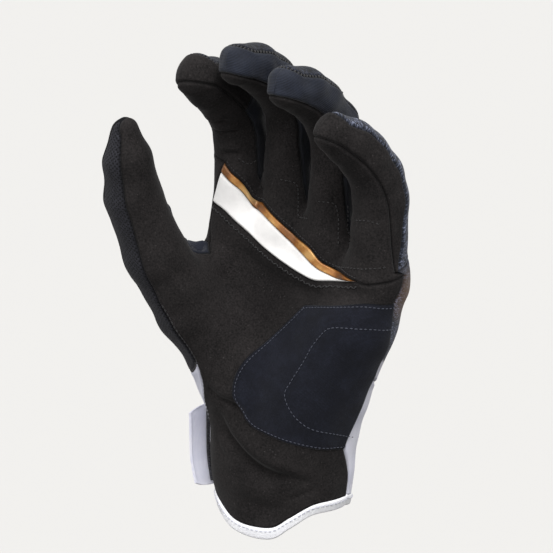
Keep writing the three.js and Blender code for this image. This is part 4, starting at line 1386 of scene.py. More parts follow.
@dataclass(frozen=True)
class StretchKnit(Finish):
    """Smooth stretch knit: fine upright ribs with a dull sheen, coarser than real so that they show."""

    light: str = "#363b4b"
    pitch: float = 0.9  # millimetres for two ribs
    cross: float = 0.0  # the same for threads that cross them, none at 0
    deep: tuple[float, float] = (0, 0)  # heights between which painted shade darkens the cloth downward, into the gaps between the fingers

    def surface(self, tree: Tree) -> Surface:
        """Ribs over soft patches, with painted shade darkening them down between the fingers."""
        where, over = self.place(tree), self.cloth(tree)
        rib = self.threads(tree, over, self.pitch, "X", 0.6, 1, 0.4)
        if self.cross:
            rib = add(tree, Node.TIMES, rib, self.threads(tree, over, self.cross, "Y", 0.8, 1, 0.4))
        yarn = self.grain(tree, where, 0.7, 2)
        share = weigh(tree, (rib, 0.35), (self.grain(tree, where, 9), 0.4), (yarn, 0.35))
        colour = add(tree, Node.RAMP, share, stops=((0.38, self.colour), (0.74, self.light)))
        # painted shade: the knit darkens downward between these heights, in the gaps between the
        # fingers
        if self.deep[1]:
            low, high = self.deep
            rise = add(tree, Node.SPAN, add(tree, Node.HEIGHT, where), low * MM, high * MM)
            shade = add(tree, Node.RAMP, rise, stops=((0.0, 0.3), (1.0, 1.0)))
            colour = add(tree, Node.MULTIPLY, 1.0, colour, shade)
        return self.seam_shade(tree, colour, 0.4), add(tree, Node.PLUS, rib, yarn), 0.09


@dataclass(frozen=True)
class DenimKnit(Finish):
    """Knit in a denim look: navy ground with broken slanting flecks of silver yarn."""

    fleck: str = "#8b91a8"
    middle: str = "#3a4050"
    long: float = 1.2
    thick: float = 0.4
    slant: float = 32

    def paint(self, tree: Tree, colour: Socket) -> Socket:
        """Colour of the printed zones over the flecks, none on the plain knit."""
        return colour

    def surface(self, tree: Tree) -> Surface:
        """Flecks, washed out in patches, and the print over them."""
        cells = self.cells(tree, self.cloth(tree), 0.9, 1.0, self.slant, (self.long, self.thick))
        stops = ((0.3, self.colour), (0.6, self.middle), (0.9, self.fleck))
        yarn = add(tree, Node.RAMP, cells.node.outputs["Color"], stops=stops)
        patch = self.grain(tree, self.place(tree), 11)
        wash = add(tree, Node.RAMP, patch, stops=((0.35, 0.35), (0.65, 1.0)))
        fleck = add(tree, Node.MULTIPLY, 1.0, yarn, wash)
        colour = self.seam_shade(tree, self.paint(tree, fleck), 0.5)
        return colour, add(tree, Node.LESS, 1.0, cells), 0.16


@dataclass(frozen=True)
class BackKnit(DenimKnit):
    """The denim-look knit of the hand's back, printed white by the wrist and bronze at one knuckle."""

    white: str = "#d2d1dc"
    bronze: str = "#8a6a4c"
    lean: Spot = (-1.2, 0, 1)
    white_to: float = 18.5
    spot: Spot = (64, 0, 112)
    spot_radius: float = 15

    def paint(self, tree: Tree, colour: Socket) -> Socket:
        """White below a leaning line, and a bronze spot that fades into the knit."""
        rest = self.beyond(tree, self.lean, self.white_to)
        colour = add(tree, Node.MIX, rest, linear(self.white), colour)
        tint = add(tree, Node.MIX, 0.45, linear(self.bronze), colour)
        return add(tree, Node.MIX, self.near(tree, self.spot, self.spot_radius), colour, tint)


@dataclass(frozen=True)
class DottedMesh(Finish):
    """Air mesh: a grey-navy knit with staggered rows of small open dots."""

    hole: str = "#0d0d10"
    light: str = "#323238"
    spacing: float = 1.4

    def surface(self, tree: Tree) -> Surface:
        """Round holes on a slanting grid in plain yarn."""
        cells = self.cells(tree, self.cloth(tree), 0.0, 1.0, 45, (self.spacing, self.spacing))
        dot = add(tree, Node.RAMP, cells, stops=((0.24, 1.0), (0.34, 0.0)))
        yarn = self.grain(tree, self.place(tree), 0.9, 2)
        ground = add(tree, Node.RAMP, yarn, stops=((0.35, self.colour), (0.7, self.light)))
        colour = add(tree, Node.MIX, dot, ground, linear(self.hole))
        return self.seam_shade(tree, colour, 0.5), add(tree, Node.LESS, yarn, dot), 0.14


@dataclass(frozen=True)
class SmoothCloth(Finish):
    """Closely woven cloth: an even matt colour, faint soiling and threads coarser than real."""

    shade: str = "#cfd0e0"
    weave: float = 0.8  # millimetres for two threads
    relief: float = 0.05

    def surface(self, tree: Tree) -> Surface:
        """Crossing threads, and soft patches of a second shade."""
        over, where = self.cloth(tree), self.place(tree)
        warp, weft = (self.threads(tree, over, self.weave, axis) for axis in "XY")
        thread = add(tree, Node.TIMES, warp, weft)
        share = weigh(tree, (self.grain(tree, where, 16), 0.5), (thread, 0.25))
        colour = add(tree, Node.RAMP, share, stops=((0.2, self.shade), (0.5, self.colour)))
        return self.seam_shade(tree, colour, 0.8), thread, self.relief


@dataclass(frozen=True)
class GripPrint(Finish):
    """Silicone grip coat on cloth: clean white with a soft gloss and faint pooling."""

    pooled: str = "#efedeb"

    def surface(self, tree: Tree) -> Surface:
        """Soft pools of a slightly darker white."""
        pool = self.grain(tree, self.place(tree), 5)
        colour = add(tree, Node.RAMP, pool, stops=((0.3, self.pooled), (0.6, self.colour)))
        return self.seam_shade(tree, colour, 0.75), pool, 0.12


@dataclass(frozen=True)
class BronzeTrim(Finish):
    """Foil-coated synthetic leather: satin, in soft patches of brown, bronze and pale gold, with one
    painted highlight.
    """

    brown: str = "#6b4626"
    tan: str = "#a87438"
    sand: str = "#c79a5c"
    pale: str = "#e6c893"
    # painted highlight: the trim turns pale gold within the radius round this spot
    painted_gleam: Spot = (-13.8, -4, 151.9)
    painted_gleam_radius: float = 6

    def surface(self, tree: Tree) -> Surface:
        """Patches from brown to gold, and one painted highlight in pale gold."""
        where = self.place(tree)
        fine = self.grain(tree, where, 1.2)
        share = weigh(tree, (self.grain(tree, where, 13, 2), 0.85), (fine, 0.15))
        stops = ((0.36, self.brown), (0.47, self.colour), (0.56, self.tan), (0.66, self.sand))
        colour = add(tree, Node.RAMP, share, stops=stops)
        spot = self.near(tree, self.painted_gleam, self.painted_gleam_radius)
        colour = add(tree, Node.MIX, spot, colour, linear(self.pale))
        return self.seam_shade(tree, colour, 0.2, 0.35), fine, 0.06


@dataclass(frozen=True)
class HookTape(Finish):
    """Hook-and-loop tape: black, with a dense field of small hooks, each with a painted glint."""

    # painted highlight: the colour of the glint on each hook
    painted_glints: str = "#4c4d55"
    spacing: float = 0.9

    def surface(self, tree: Tree) -> Surface:
        """One painted glint, a lighter dot, to each cell."""
        cells = self.cells(tree, self.cloth(tree), 0.6, 1 / self.spacing)
        tip = add(tree, Node.RAMP, cells, stops=((0.05, 1.0), (0.45, 0.0)))
        return add(tree, Node.MIX, tip, linear(self.colour), linear(self.painted_glints)), tip, 0.6


@dataclass(frozen=True)
class Thread(Finish):
    """Twisted polyester sewing thread: a slight gloss, lighter and darker along its plies."""

    dim: float = 0.6

    def surface(self, tree: Tree) -> Surface:
        """Plies in two strengths of the thread's colour."""
        ply = self.grain(tree, self.place(tree), 0.5, 1)
        red, green, blue, _ = linear(self.colour)
        dark = (red * self.dim, green * self.dim, blue * self.dim, 1)
        return add(tree, Node.MIX, ply, dark, linear(self.colour)), ply, 0.05


FINISHES = {
    "suede": Suede("brushed_suede", "#131212", "suede", 0.95, 0.05, 0.1, "#2f2c2c"),
    "navy": StretchKnit("navy_stretch_knit", "#0e1017", "navy_stretch", 0.75, 0.1, 0.2, "#272c39", 1.3,
                        deep=(178, 204)),
    "web_navy": StretchKnit("web_stretch_knit", "#14161e", "navy_stretch", 0.75, 0.1, 0.2, "#2a2e3b"),
    "heel": StretchKnit("navy_woven_patch", "#0f1016", "navy_stretch", 0.85, 0.06, 0.12, "#262935",
                        1.1, 1.1),
    "denim": DenimKnit("denim_look_knit", "#12151e", "denim_knit", 0.8, 0.1, 0.25),
    "dark_denim": DenimKnit("dark_denim_knit", "#101218", "denim_knit", 0.8, 0.08, 0.2, "#3b4050",
                            "#1c1f29"),
    "back": BackKnit("printed_back_knit", "#12151e", "denim_knit", 0.8, 0.1, 0.25),
    "mesh": DottedMesh("dotted_air_mesh", "#1b1b1f", "dotted_mesh", 0.85, 0.06, 0.15),
    "black": SmoothCloth("black_twill", "#17171a", "black_cloth", 0.9, 0.06, 0.15, "#0e0e10"),
    "white": SmoothCloth("white_laminated_cloth", "#ebeaf1", "white_cloth", 0.7, 0.1, 0.35),
    "binding": SmoothCloth("white_binding_tape", "#fdfdfe", "white_cloth", 0.65, 0.1, 0.35,
                           "#efeff4", 0.7, 0.07),
    "grip": GripPrint("white_grip_print", "#f6f4f2", "white_grip", 0.5, 0.0, 0.4),
    "bronze": BronzeTrim("bronze_foil_trim", "#8a5626", "gold_trim", 0.42, 0.0, 0.5, metallic=0.35),
    "hook": HookTape("hook_and_loop_tape", "#101013", "hook_tape", 0.7, 0.0, 0.4),
    "dark_thread": Thread("black_thread", "#1a191b", "black_cloth", 0.5, 0.2, 0.4),
    "grey_thread": Thread("grey_thread", "#3f4351", "navy_stretch", 0.55, 0.2, 0.4),
    "white_thread": Thread("white_thread", "#d4d5e2", "white_cloth", 0.55, 0.2, 0.4),
}
MADE: dict[str, bpy.types.Material] = {}


def finish(obj: Piece, look: str, *nodes: str) -> Piece:
    """Dresses a piece, hangs it on the body and reports it.

    Args:
        obj: the piece.
        look: name of its finish.
        nodes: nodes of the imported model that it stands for.

    Returns:
        The piece.
    """
    if look not in MADE:
        MADE[look] = FINISHES[look].make()
    obj.data.materials.append(MADE[look])
    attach(obj, "root")
    if nodes:
        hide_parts(*nodes)
    LOG.info("%s: %d faces, %s", obj.name, len(obj.data.polygons), MADE[look].name)
    return obj


# The glove

PATTERN = Pattern()
MESH_SPLIT = 16  # column of the thumb's back at which the mesh ends and plain cloth begins


def edges_of(rows: Array) -> list[Array]:
    """Both long edges and the last row of a panel."""
    return [rows[:, 0], rows[:, -1], rows[-1]]


def outline_of(rows: Array) -> Array:
    """All four edges of a grid of samples."""
    return np.concatenate([rows[0], rows[-1], rows[:, 0], rows[:, -1]])


def sewn_lines(p: Pattern) -> Array:
    """Every line along which two cloth panels are sewn together."""
    lines = [p.thumb_seam, p.web_crotch, p.crease, p.web_to_strip, p.radial_seam, p.ulnar_seam,
             p.dorsal_seam, p.back_line, p.back_low, p.knuckles, p.heel_to_end, p.band_front,
             p.band_back,
             p.thumb_root[:, MESH_SPLIT], p.thumb_back[:, MESH_SPLIT], p.web_gusset[-1]]
    for rows in (*p.front, *p.back, p.thumb_front, p.thumb_back):
        lines += edges_of(rows)
    for rows in (p.index_band, p.little_band):
        lines += edges_of(rows)[:2]
    return np.concatenate(lines)


@dataclass
class Masked:
    """A feature that dies away toward given lines: times 1 - exp(-(distance / reach)^2)."""

    feature: object
    lines: Array
    reach: float = 3.0

    def height(self, samples: Array) -> Array:
        """Height at samples."""
        d, _ = nearest(samples[:, :3], self.lines[:, :3])
        return self.feature.height(samples) * (1 - np.exp(-(d / self.reach) ** 2))


@dataclass
class Layer:
    """A layer laid on top, its edge rounded off.

    Height = base + rise * sqrt(1 - (1 - d / edge)^2), with d the distance from its outline, up to
    the width edge.
    """

    outline: Array
    rise: float
    edge: float = 0.9
    base: float = 0.0

    def height(self, samples: Array) -> Array:
        """Height at samples."""
        d, _ = nearest(samples[:, :3], self.outline[:, :3])
        near = np.clip(d / self.edge, 0, 1)
        return self.base + self.rise * np.sqrt(np.maximum(1 - (1 - near) ** 2, 0))


def path(*points: Spot) -> Array:
    """A line over the skin near the given points, dense enough for folds and stitches."""
    return seam(points, 2 * (len(points) - 1))


SEWN = sewn_lines(PATTERN)

# folds of the glove on the hand: line, depth, half width, ridge beside it
PALM_FOLDS = [
    Fold(path((-24.1, -13.4, 136.4), (-15.4, -12.3, 126.9), (-1.2, -12.2, 118.2), (15.9, -13.8, 111.9),
              (38.2, -18.7, 112), (56.4, -16.1, 114.2)), 1.5, 3.2, 0.7, gentle=1.8),
    Fold(path((-21.3, -23.8, 54.2), (-17, -23.3, 44.3), (-8.5, -25.5, 36.5), (0.3, -26.5, 31.4),
              (9.3, -26.1, 28.4), (17.3, -23.9, 26.6), (25, -19.3, 24.6)), 3.4, 2.6, 1.6, gentle=2.4),
    Fold(path((-11.6, -23.9, 16.7), (-3.1, -24.2, 12.8), (6, -23.8, 11.2), (15.4, -22.2, 12.2)),
         0.8, 2.4, 0.3, gentle=1.6),
    Fold(path((-25.4, -25.8, 64.5), (-19.5, -26.1, 60.6), (-10.5, -25.5, 57.8), (-5.8, -24.6, 52.6)),
         1.5, 2.0, 1.1),
    Fold(path((-27, -24, 40), (-22, -26, 34), (-14, -27, 30)), 0.6, 1.6, 0.5),
    Fold(path((12, -20, 17), (20, -20, 19), (27, -16, 23)), 0.5, 1.4, 0.4),
    Fold(path((-29, -20, 117), (-20, -17, 112), (-12, -16, 103)), 0.5, 1.8, 0.3),
    Fold(path((-26, -22, 108), (-17, -22, 101), (-9, -21, 92)), 0.4, 1.8, 0.3),
]
FINGER_FOLDS = [
    Fold(path((-29.2, -14.7, 186.4), (-24, -17, 186.4), (-18.5, -17.4, 186.4)), 1.6, 1.3, 0.9),
    Fold(path((-28.7, -10.1, 180.5), (-22, -11, 180.8), (-15.5, -10.1, 181.2)), 1.3, 1.2, 0.8),
    Fold(path((-27.2, -9.2, 169.7), (-21, -9, 170), (-16.6, -8.1, 170)), 1.3, 1.2, 0.7),
]
SKIN = [Groove(SEWN, 0.65, 0.6, 0.18), Crumple(0.22, 17), *PALM_FOLDS, *FINGER_FOLDS]
BARE = Relief(SKIN)


@dataclass
class Palm:
    """The suede palm with the ball of the thumb, and the woven patch on its heel."""

    pattern: Pattern
    patch_rise: float = 0.9
    patch_edge: float = 1.2
    patch_base: float = -0.1
    outline: Array = field(init=False)
    patch_relief: Relief = field(init=False)

    def __post_init__(self) -> None:
        """Takes the outline of the patch from the pattern."""
        p = self.pattern
        self.outline = joined(p.heel_left, p.heel_top)
        all_round = np.concatenate([self.outline, p.heel_right, p.heel_low])
        layer = Layer(all_round, self.patch_rise, self.patch_edge, self.patch_base)
        self.patch_relief = Relief([*SKIN, layer])

    def panel(self) -> Piece:
        """The palm from the thumb tip to the cuff."""
        p = self.pattern
        upper = fill(joined(p.inner_line, p.heel_top), joined(p.white_low, p.crease), p.web_to_strip,
                     p.heel_to_end, -PALM_BULGE)
        ball = fill(p.wrist_line, joined(p.thumb_front[0], p.inner_line), p.thumb_seam, p.heel_left,
                    -PALM_BULGE)
        wrist = fill(p.cuff_front, joined(p.wrist_line, p.heel_low), p.radial_seam, p.ulnar_seam,
                     -PALM_BULGE)
        plain = (p.heel_left, p.heel_top, p.heel_low)
        return finish(cloth_shell("palm", [p.thumb_front, ball, upper, wrist], BARE, plain=plain),
                      "suede", "palm_panel")

    def patch(self) -> Piece:
        """The patch that stands up from the palm by the thickness of its cloth."""
        p = self.pattern
        rows = fill(p.heel_low, p.heel_top, p.heel_left, p.heel_right, -PALM_BULGE)
        return finish(cloth_shell("heel_patch_cloth", [rows], self.patch_relief), "heel", "heel_patch")

    def build(self) -> None:
        """Makes the pieces."""
        self.panel()
        self.patch()


@dataclass
class Strips:
    """The bare white grip strip across the finger roots and the bronze trim along it."""

    pattern: Pattern
    edge: float = 0.9
    white_rise: float = 0.75
    trim_rise: float = 0.85
    trim_base: float = 0.05

    def build(self) -> None:
        """Makes both strips."""
        p = self.pattern
        end = np.repeat(p.at["strip_end"][None], len(p.strip_side), axis=0)
        rows = fill(p.white_low, p.gold_low, p.strip_side, end)
        outline = np.concatenate([p.white_low, p.gold_low, p.strip_side])
        relief = Relief([*SKIN, Layer(outline, self.white_rise, self.edge)])
        finish(cloth_shell("grip_strip", [rows], relief), "grip", "palm_strip_white")
        side = straight(p.at["gold_low"], p.at["strip_top"], 1)
        rows = fill(p.gold_low, p.gold_top, side, end[:len(side)])
        outline = np.concatenate([p.gold_low, p.gold_top])
        relief = Relief([*SKIN, Layer(outline, self.trim_rise, self.edge, self.trim_base)])
        finish(cloth_shell("bronze_strip", [rows], relief), "bronze", "palm_strip_gold")


@dataclass
class Fingers:
    """Palmar sides of the four fingers, their outer sides and the stretch gussets between them.

    The suede of the index and little fingers wraps over the tip, so their gussets end short of it.
    """

    pattern: Pattern
    tip_wrap: int = 66  # rows of a gusset that the suede takes up
    slack: float = 0.3
    slack_wave: float = 9
    slack_seed: int = 20

    def build(self) -> None:
        """Makes the pieces."""
        p = self.pattern
        base = joined(*[rows[0] for rows in p.front])
        left = straight(p.at["strip_top"], base[0], BLOCK_ROWS)
        right = straight(p.at["seam_end"], base[-1], BLOCK_ROWS)
        root = fill(joined(p.gold_top, p.crease), base, left, right)
        finish(cloth_shell("finger_fronts", [root, *p.front], BARE), "suede", "finger_panel")
        for name, patches in (("index", [p.index_root, p.index_band]), ("little", [p.little_band])):
            side = cloth_shell(f"{name}_outer_side", patches, BARE, plain=[patches[-1][-1]])
            finish(side, "suede", f"{name}_side")
        names = ("index_middle", "middle_ring", "ring_little")
        for i, (name, rows) in enumerate(zip(names, p.gussets)):
            edge = np.concatenate([rows[:, 0], rows[:, -1]])
            slack = Masked(Crumple(self.slack, self.slack_wave, self.slack_seed + i), edge)
            first = self.tip_wrap if name == "index_middle" else 0
            last = len(rows) - 1 - (self.tip_wrap if name == "ring_little" else 0)
            ends, node = [rows[0], rows[-1]], f"gusset_{name}"
            stretch = cloth_shell(f"fourchette_{name}", [rows[first:last + 1]], Relief([*SKIN, slack]),
                                  plain=ends)
            finish(stretch, "navy", node)
            for wrap, part in (("index_tip_wrap", rows[:first + 1]), ("little_tip_wrap", rows[last:])):
                if len(part) > 1:
                    finish(cloth_shell(wrap, [part], BARE, plain=ends), "suede", node)


@dataclass
class Thumb:
    """Back of the thumb: air mesh on the outer part, plain black on the rest, and the web gusset."""

    pattern: Pattern
    slack: float = 1.5
    slack_wave: float = 8
    slack_seed: int = 31
    slack_reach: float = 2.5

    def build(self) -> None:
        """Makes the pieces."""
        p, split = self.pattern, MESH_SPLIT
        mesh = [p.thumb_root[:, :split + 1], p.thumb_back[:, :split + 1]]
        rest = [p.thumb_root[:, split:], p.thumb_back[:, split:]]
        finish(cloth_shell("thumb_air_mesh", mesh, BARE), "mesh", "thumb_mesh")
        finish(cloth_shell("thumb_plain_back", rest, BARE), "black", "thumb_back")
        crumple = Crumple(self.slack, self.slack_wave, self.slack_seed)
        slack = Masked(crumple, outline_of(p.web_gusset), self.slack_reach)
        web = cloth_shell("web_cloth", [p.web_gusset], Relief([*SKIN, slack]))
        finish(web, "web_navy", "web_gusset")


@dataclass
class Back:
    """Back of the hand and of the four fingers, in the same knit, darker on three of them."""

    pattern: Pattern

    def build(self) -> None:
        """Makes the pieces."""
        p = self.pattern
        looks = {"index": "dark_denim", "middle": "dark_denim", "ring": "dark_denim", "little": "denim"}
        for (name, look), rows in zip(looks.items(), p.back):
            finish(cloth_shell(f"{name}_knit_back", [rows], BARE), look, f"{name}_back")
        finish(cloth_shell("hand_knit_back", [p.back_rows], BARE), "back", "back_panel")


@dataclass
class Cuff:
    """The laminated cuff on the back of the wrist and the bound edge of the cuff mouth."""

    pattern: Pattern
    tall: float = 5.4
    thick: float = 2.6
    proud: float = 0.5
    corner_radius: float = 1.1
    corner_points: int = 5
    loop: Array = field(init=False)

    def __post_init__(self) -> None:
        """Takes the line of the cuff mouth."""
        self.loop = joined(self.pattern.cuff_front, self.pattern.cuff_back[::-1])[:-1]

    def profile(self) -> Array:
        """Rounded rectangle of the folded tape: x out of the cuff, y up from its lower edge."""
        turn = np.radians(np.linspace(0, 90, self.corner_points))
        corner = np.column_stack([np.cos(turn), np.sin(turn)]) * self.corner_radius
        x0, x1 = self.proud - self.thick + self.corner_radius, self.proud - self.corner_radius
        y0, y1 = self.corner_radius, self.tall - self.corner_radius
        quarter = [corner, corner[:, ::-1] * (-1, 1), -corner, corner[:, ::-1] * (1, -1)]
        spots = ((x1, y1), (x0, y1), (x0, y0), (x1, y0))
        return np.concatenate([q + s for q, s in zip(quarter, spots)])

    def build(self) -> None:
        """Makes the pieces."""
        loop = self.loop
        finish(cloth_shell("cuff_laminate", [self.pattern.cuff_rows], BARE), "white", "cuff_back")
        low = settle(HAND.hand, loop[:, :3] - (0, 0, self.tall))
        up = unit(loop[:, :3] - low[:, :3])
        out = unit(loop[:, 3:] + low[:, 3:])
        tape = carried("cuff_tape", low[:, :3], out, up, self.profile(), True)
        finish(tape, "binding", "cuff_binding")


@dataclass
class Standing:
    """Height of a layer over the wrist, its free end standing off further.

    Height = top + flare * (max(0, flare_from - y) / flare_run)^2.
    """

    top: float
    flare: float
    flare_from: float = 6
    flare_run: float = 9

    def height(self, samples: Array) -> Array:
        """Height at samples."""
        past = np.maximum(0, self.flare_from - samples[:, 1]) / self.flare_run
        return self.top + self.flare * past ** 2


@dataclass
class Slab:
    """One layer of the closure, its rim rounded off over the width edge."""

    rows: Array
    top: float
    wall: float
    edge: float
    flare: float = 0.0

    @property
    def relief(self) -> Relief:
        """Its outer side over the wrist."""
        rim = outline_of(self.rows)
        rounding = Layer(rim, self.edge, 2 * self.edge, -self.edge)
        return Relief([Standing(self.top, self.flare), rounding])

    def shell(self, name: str) -> Piece:
        """Builds the layer."""
        return cloth_shell(name, [self.rows], self.relief, self.wall - self.edge,
                           plain=[outline_of(self.rows)])


@dataclass
class Closure:
    """The wrist tab, drawn closed, with a hook pad under it and a loop pad on the cuff."""

    line: tuple[Spot, ...] = ((6, 23, 32), (-14, 20, 31.5), (-27, 9, 31),
                                                    (-31, -4, 30.5))
    columns: int = 14
    half: float = 20
    round_from: float = 0.76
    narrow: float = 0.14
    narrow_power: int = 8
    fine_rows: int = 60
    wall: float = 1.6
    edge: float = 0.5
    flare: float = 5.5
    pad_wall: float = 1.2
    pad_gap: float = 0.3
    pad_edge: float = 0.2
    pad_from: int = 8
    hook_inset: float = 2
    loop_inset: float = 6
    loop_drop: float = 4
    path: Array = field(init=False)
    strap: Slab = field(init=False)

    def __post_init__(self) -> None:
        """Lays the middle line of the tab over the wrist, and the tab along it."""
        self.path = seam(self.line, self.columns)
        rows = self.sheet(0, self.columns, self.half)
        self.strap = Slab(rows, self.stand, self.wall, self.edge, self.flare)

    @property
    def stand(self) -> float:
        """Height of the tab's outer side over the wrist, with both pads below it."""
        return 2 * (self.pad_wall + self.pad_gap) + self.pad_gap + self.wall

    def sheet(self, first: int, last: int, half: float, drop: float = 0) -> Array:
        """Samples of the tab between two columns: rows up the wrist, columns along it."""
        column = np.arange(first * FINE, last * FINE + 1)
        past = np.maximum(0, column / FINE / self.columns - self.round_from) / (1 - self.round_from)
        tall = half * (1 - self.narrow * past ** self.narrow_power)
        up = np.linspace(-1, 1, self.fine_rows + 1)[:, None] * tall
        middle = np.broadcast_to(self.path[column, :3], (*up.shape, 3))
        return settle(HAND.hand, middle + (up - drop)[..., None] * (0, 0, 1))

    def build(self) -> None:
        """Makes the pieces."""
        end = self.columns - 1
        low = self.sheet(self.pad_from, end, self.half - self.loop_inset, self.loop_drop)
        field_below = Slab(low, self.pad_wall + self.pad_gap, self.pad_wall, self.pad_edge)
        finish(field_below.shell("loop_field"), "hook", "loop_pad")
        high = self.sheet(self.pad_from, end, self.half - self.hook_inset)
        top = self.stand - self.wall - self.pad_gap
        field_above = Slab(high, top, self.pad_wall, self.pad_edge, self.flare)
        finish(field_above.shell("hook_field"), "hook", "hook_pad")
        finish(self.strap.shell("wrist_tab"), "white", "closing_strap")


@dataclass
class Stitching:
    """All sewing thread that shows, one piece for each colour of thread.

    Each row below gives its pitch, stitch length and thread radius, then its kind and width.
    """

    pattern: Pattern
    palm: Palm
    closure: Closure
    cuff: Cuff
    overlock_from: int = 70
    root_cells: int = 3
    tab_inset: int = 5
    tab_from: int = 20

    def dark_rows(self) -> list[StitchRow]:
        """Black thread on the suede."""
        p = self.pattern
        rows = [StitchRow(beside(p.white_low, -2.6), BARE, 1.5, 1.5, 0.3, StitchKind.ZIGZAG, 1.0),
                StitchRow(beside(p.gold_top, 1.5), BARE, 1.6, 1.2, 0.26)]
        outlines = (
            ((2.5, -7.7, 160.1), (9.1, -4.8, 157.9), (9.8, -4.2, 150.2), (10.5, -5.5, 144.1),
             (17.4, -9.2, 143.5)),
            ((23.3, -11, 152.3), (30.7, -9.9, 151.4), (32.2, -9, 146.5), (32.6, -9.7, 133.2)),
            ((35.3, -5.5, 150.7), (35.3, -5.2, 141.7), (39.9, -12.5, 134.3)),
            ((45.1, -17.5, 146.7), (52.7, -19.2, 147.2), (56.9, -17.9, 146)),
            ((30.1, -10.5, 123.6), (41.6, -15.9, 124.8), (51.4, -18, 125.7), (58.6, -14.9, 126.7)),
            ((-18.4, -8.5, 168.2), (-14.6, -6, 165.4), (-12.4, -2.6, 166.9)),
            ((47.3, -20.2, 108.3), (48, -21.5, 104.1)),
        )
        rows += [StitchRow(path(*points), BARE, 1.9, 1.3, 0.25) for points in outlines]
        for face in p.back[:3]:
            upper = face[self.overlock_from:]
            edge = joined(upper[:, 0], face[-1], upper[::-1, -1])
            rows.append(StitchRow(edge, BARE, 1.7, 1.3, 0.42, StitchKind.OVERLOCK, 2.0))
        root = p.back_line[:self.root_cells * FINE]
        rows.append(StitchRow(root, BARE, 1.6, 1.2, 0.35, StitchKind.OVERLOCK, 1.7))
        rows.append(StitchRow(beside(p.thumb_seam, -1.4), BARE, 2.2, 1.6, 0.22))
        return rows

    def grey_rows(self) -> list[StitchRow]:
        """Grey thread: two rows round the heel patch."""
        relief = self.palm.patch_relief
        inner = path((58.4, -9.7, 97.9), (49.6, -21.8, 99.4), (36.6, -25, 98.7), (30.6, -24.8, 93),
                     (25, -25.4, 83.4), (19.3, -26.9, 73.9), (16.2, -27.6, 67.3), (19.1, -27.5, 59.3),
                     (24.8, -25, 53.5), (33.3, -18, 49.6), (37.7, -4.7, 45))
        return [StitchRow(beside(self.palm.outline, -1.6), relief, 1.8, 1.25, 0.2),
                StitchRow(beside(self.pattern.heel_low, 1.6), relief, 1.8, 1.25, 0.2),
                StitchRow(inner, relief, 2.0, 1.4, 0.22)]

    def white_rows(self) -> list[StitchRow]:
        """White thread on the binding and round the tab."""
        cuff, strap, inset = self.cuff, self.closure.strap, self.tab_inset
        band = cuff.loop.copy()
        band[:, 2] -= 1.5
        along = slice(self.tab_from, -inset)
        edge = joined(strap.rows[inset, along], strap.rows[inset:-inset, -inset],
                      strap.rows[-inset, along][::-1])
        return [StitchRow(band, Relief([Raised(cuff.proud - 0.1)]), 2.3, 1.7, 0.25),
                StitchRow(edge, strap.relief, 2.3, 1.7, 0.22)]

    def build(self) -> None:
        """Makes the three thread pieces."""
        finish(sew("black_stitches", self.dark_rows()), "dark_thread")
        finish(sew("grey_stitches", self.grey_rows()), "grey_thread")
        finish(sew("white_stitches", self.white_rows()), "white_thread")


# Studio

@dataclass(frozen=True)
class Lamp:
    """A far, soft light: where it comes from in degrees round and above the glove."""

    azimuth: float
    height: float
    strength: float
    spread: float
    colour: str = "#ffffff"

    def build(self, name: str) -> None:
        """Makes the sun lamp."""
        data = bpy.data.lights.new(name, "SUN")
        data.energy, data.angle = self.strength, math.radians(self.spread)
        data.color = linear(self.colour)[:3]
        obj = bpy.data.objects.new(name, data)
        obj.rotation_euler = (math.radians(90 - self.height), 0, math.radians(self.azimuth))
        bpy.context.scene.collection.objects.link(obj)


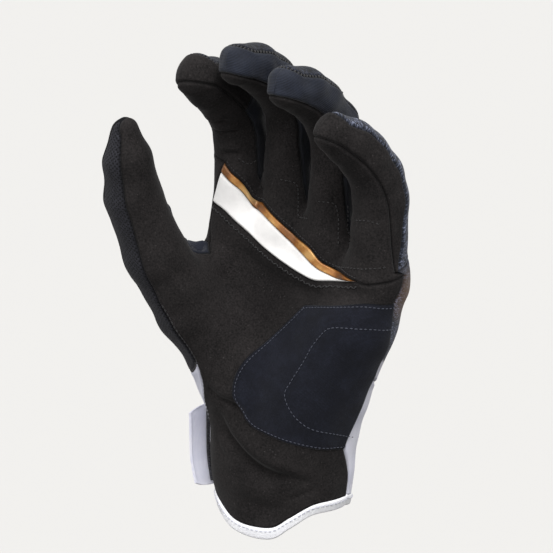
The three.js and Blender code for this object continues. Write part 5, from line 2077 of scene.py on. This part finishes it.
@dataclass
class Studio:
    """Pale floor, soft light from above and all round, and the camera at the photograph's angle."""

    azimuth: float = 28.0
    elevation: float = 12.0
    distance: float = 1000.0
    target: Spot = (2, -10, 113)
    focal_px: float = 2222.0
    frame_px: int = 553
    shift_px: float = 6.5
    sensor: float = 36.0
    clip_end: float = 400.0
    key: Lamp = Lamp(38, 50, 2.4, 30)
    fill: Lamp = Lamp(-20, 22, 0.95, 60)
    floor_z: float = -0.6
    floor_half: float = 60.0
    floor_colour: str = "#c4c3c1"
    backdrop: str = "#f2f1ef"  # past the floor's edge, the brightness that the lit floor has
    sky: tuple[tuple[float, float], ...] = ((0.0, 0.1), (0.45, 0.22), (0.55, 0.75), (1.0, 1.0))

    def floor(self) -> None:
        """A plain matt floor, wide enough to fill the view."""
        h = self.floor_half
        mesh = bpy.data.meshes.new("floor")
        mesh.from_pydata([(-h, -h, 0), (h, -h, 0), (h, h, 0), (-h, h, 0)], [], [(0, 1, 2, 3)])
        obj = bpy.data.objects.new("floor", mesh)
        obj.location.z = self.floor_z
        bpy.context.scene.collection.objects.link(obj)
        material = bpy.data.materials.new("pale_floor")
        material.use_nodes = True
        shader = material.node_tree.nodes["Principled BSDF"]
        shader.inputs["Base Color"].default_value = linear(self.floor_colour)
        shader.inputs["Roughness"].default_value = 1.0
        shader.inputs["Specular IOR Level"].default_value = 0.0
        mesh.materials.append(material)
        obj.visible_diffuse = False

    def camera(self) -> None:
        """Places the camera and sets the picture's size."""
        scene = bpy.context.scene
        a, e = math.radians(self.azimuth), math.radians(self.elevation)
        back = np.array((math.sin(a) * math.cos(e), -math.cos(a) * math.cos(e), math.sin(e)))
        data = bpy.data.cameras.new("camera")
        data.sensor_width = self.sensor
        data.lens = self.focal_px / self.frame_px * self.sensor
        data.shift_y = self.shift_px / self.frame_px
        data.clip_end = self.clip_end
        camera = bpy.data.objects.new("camera", data)
        camera.location = (np.array(self.target) + back * self.distance) * MM
        camera.rotation_euler = (math.pi / 2 - e, 0, a)
        scene.collection.objects.link(camera)
        scene.camera = camera

    def build(self) -> None:
        """Makes the floor, the light and the camera."""
        scene = bpy.context.scene
        scene.view_settings.view_transform = "Standard"
        world = bpy.data.worlds.new("studio")
        world.use_nodes = True
        tree = world.node_tree
        up = add(tree, Node.HEIGHT, add(tree, Node.SKY))
        height = add(tree, Node.SPAN, up, -1.0)
        light = add(tree, Node.RAMP, height, stops=self.sky)
        colour = add(tree, Node.MIX, add(tree, Node.SEEN), light, linear(self.backdrop))
        tree.links.new(colour, tree.nodes["Background"].inputs["Color"])
        scene.world = world
        self.floor()
        self.key.build("key")
        self.fill.build("fill")
        self.camera()


def main() -> None:
    """Builds the glove from the palm outward, then the studio round it."""
    logging.basicConfig(level=logging.INFO, format="%(name)s: %(message)s")
    palm, closure, cuff = Palm(PATTERN), Closure(), Cuff(PATTERN)
    palm.build()
    Strips(PATTERN).build()
    Fingers(PATTERN).build()
    Thumb(PATTERN).build()
    Back(PATTERN).build()
    cuff.build()
    closure.build()
    Stitching(PATTERN, palm, closure, cuff).build()
    Studio().build()


if __name__ == "__main__":
    main()
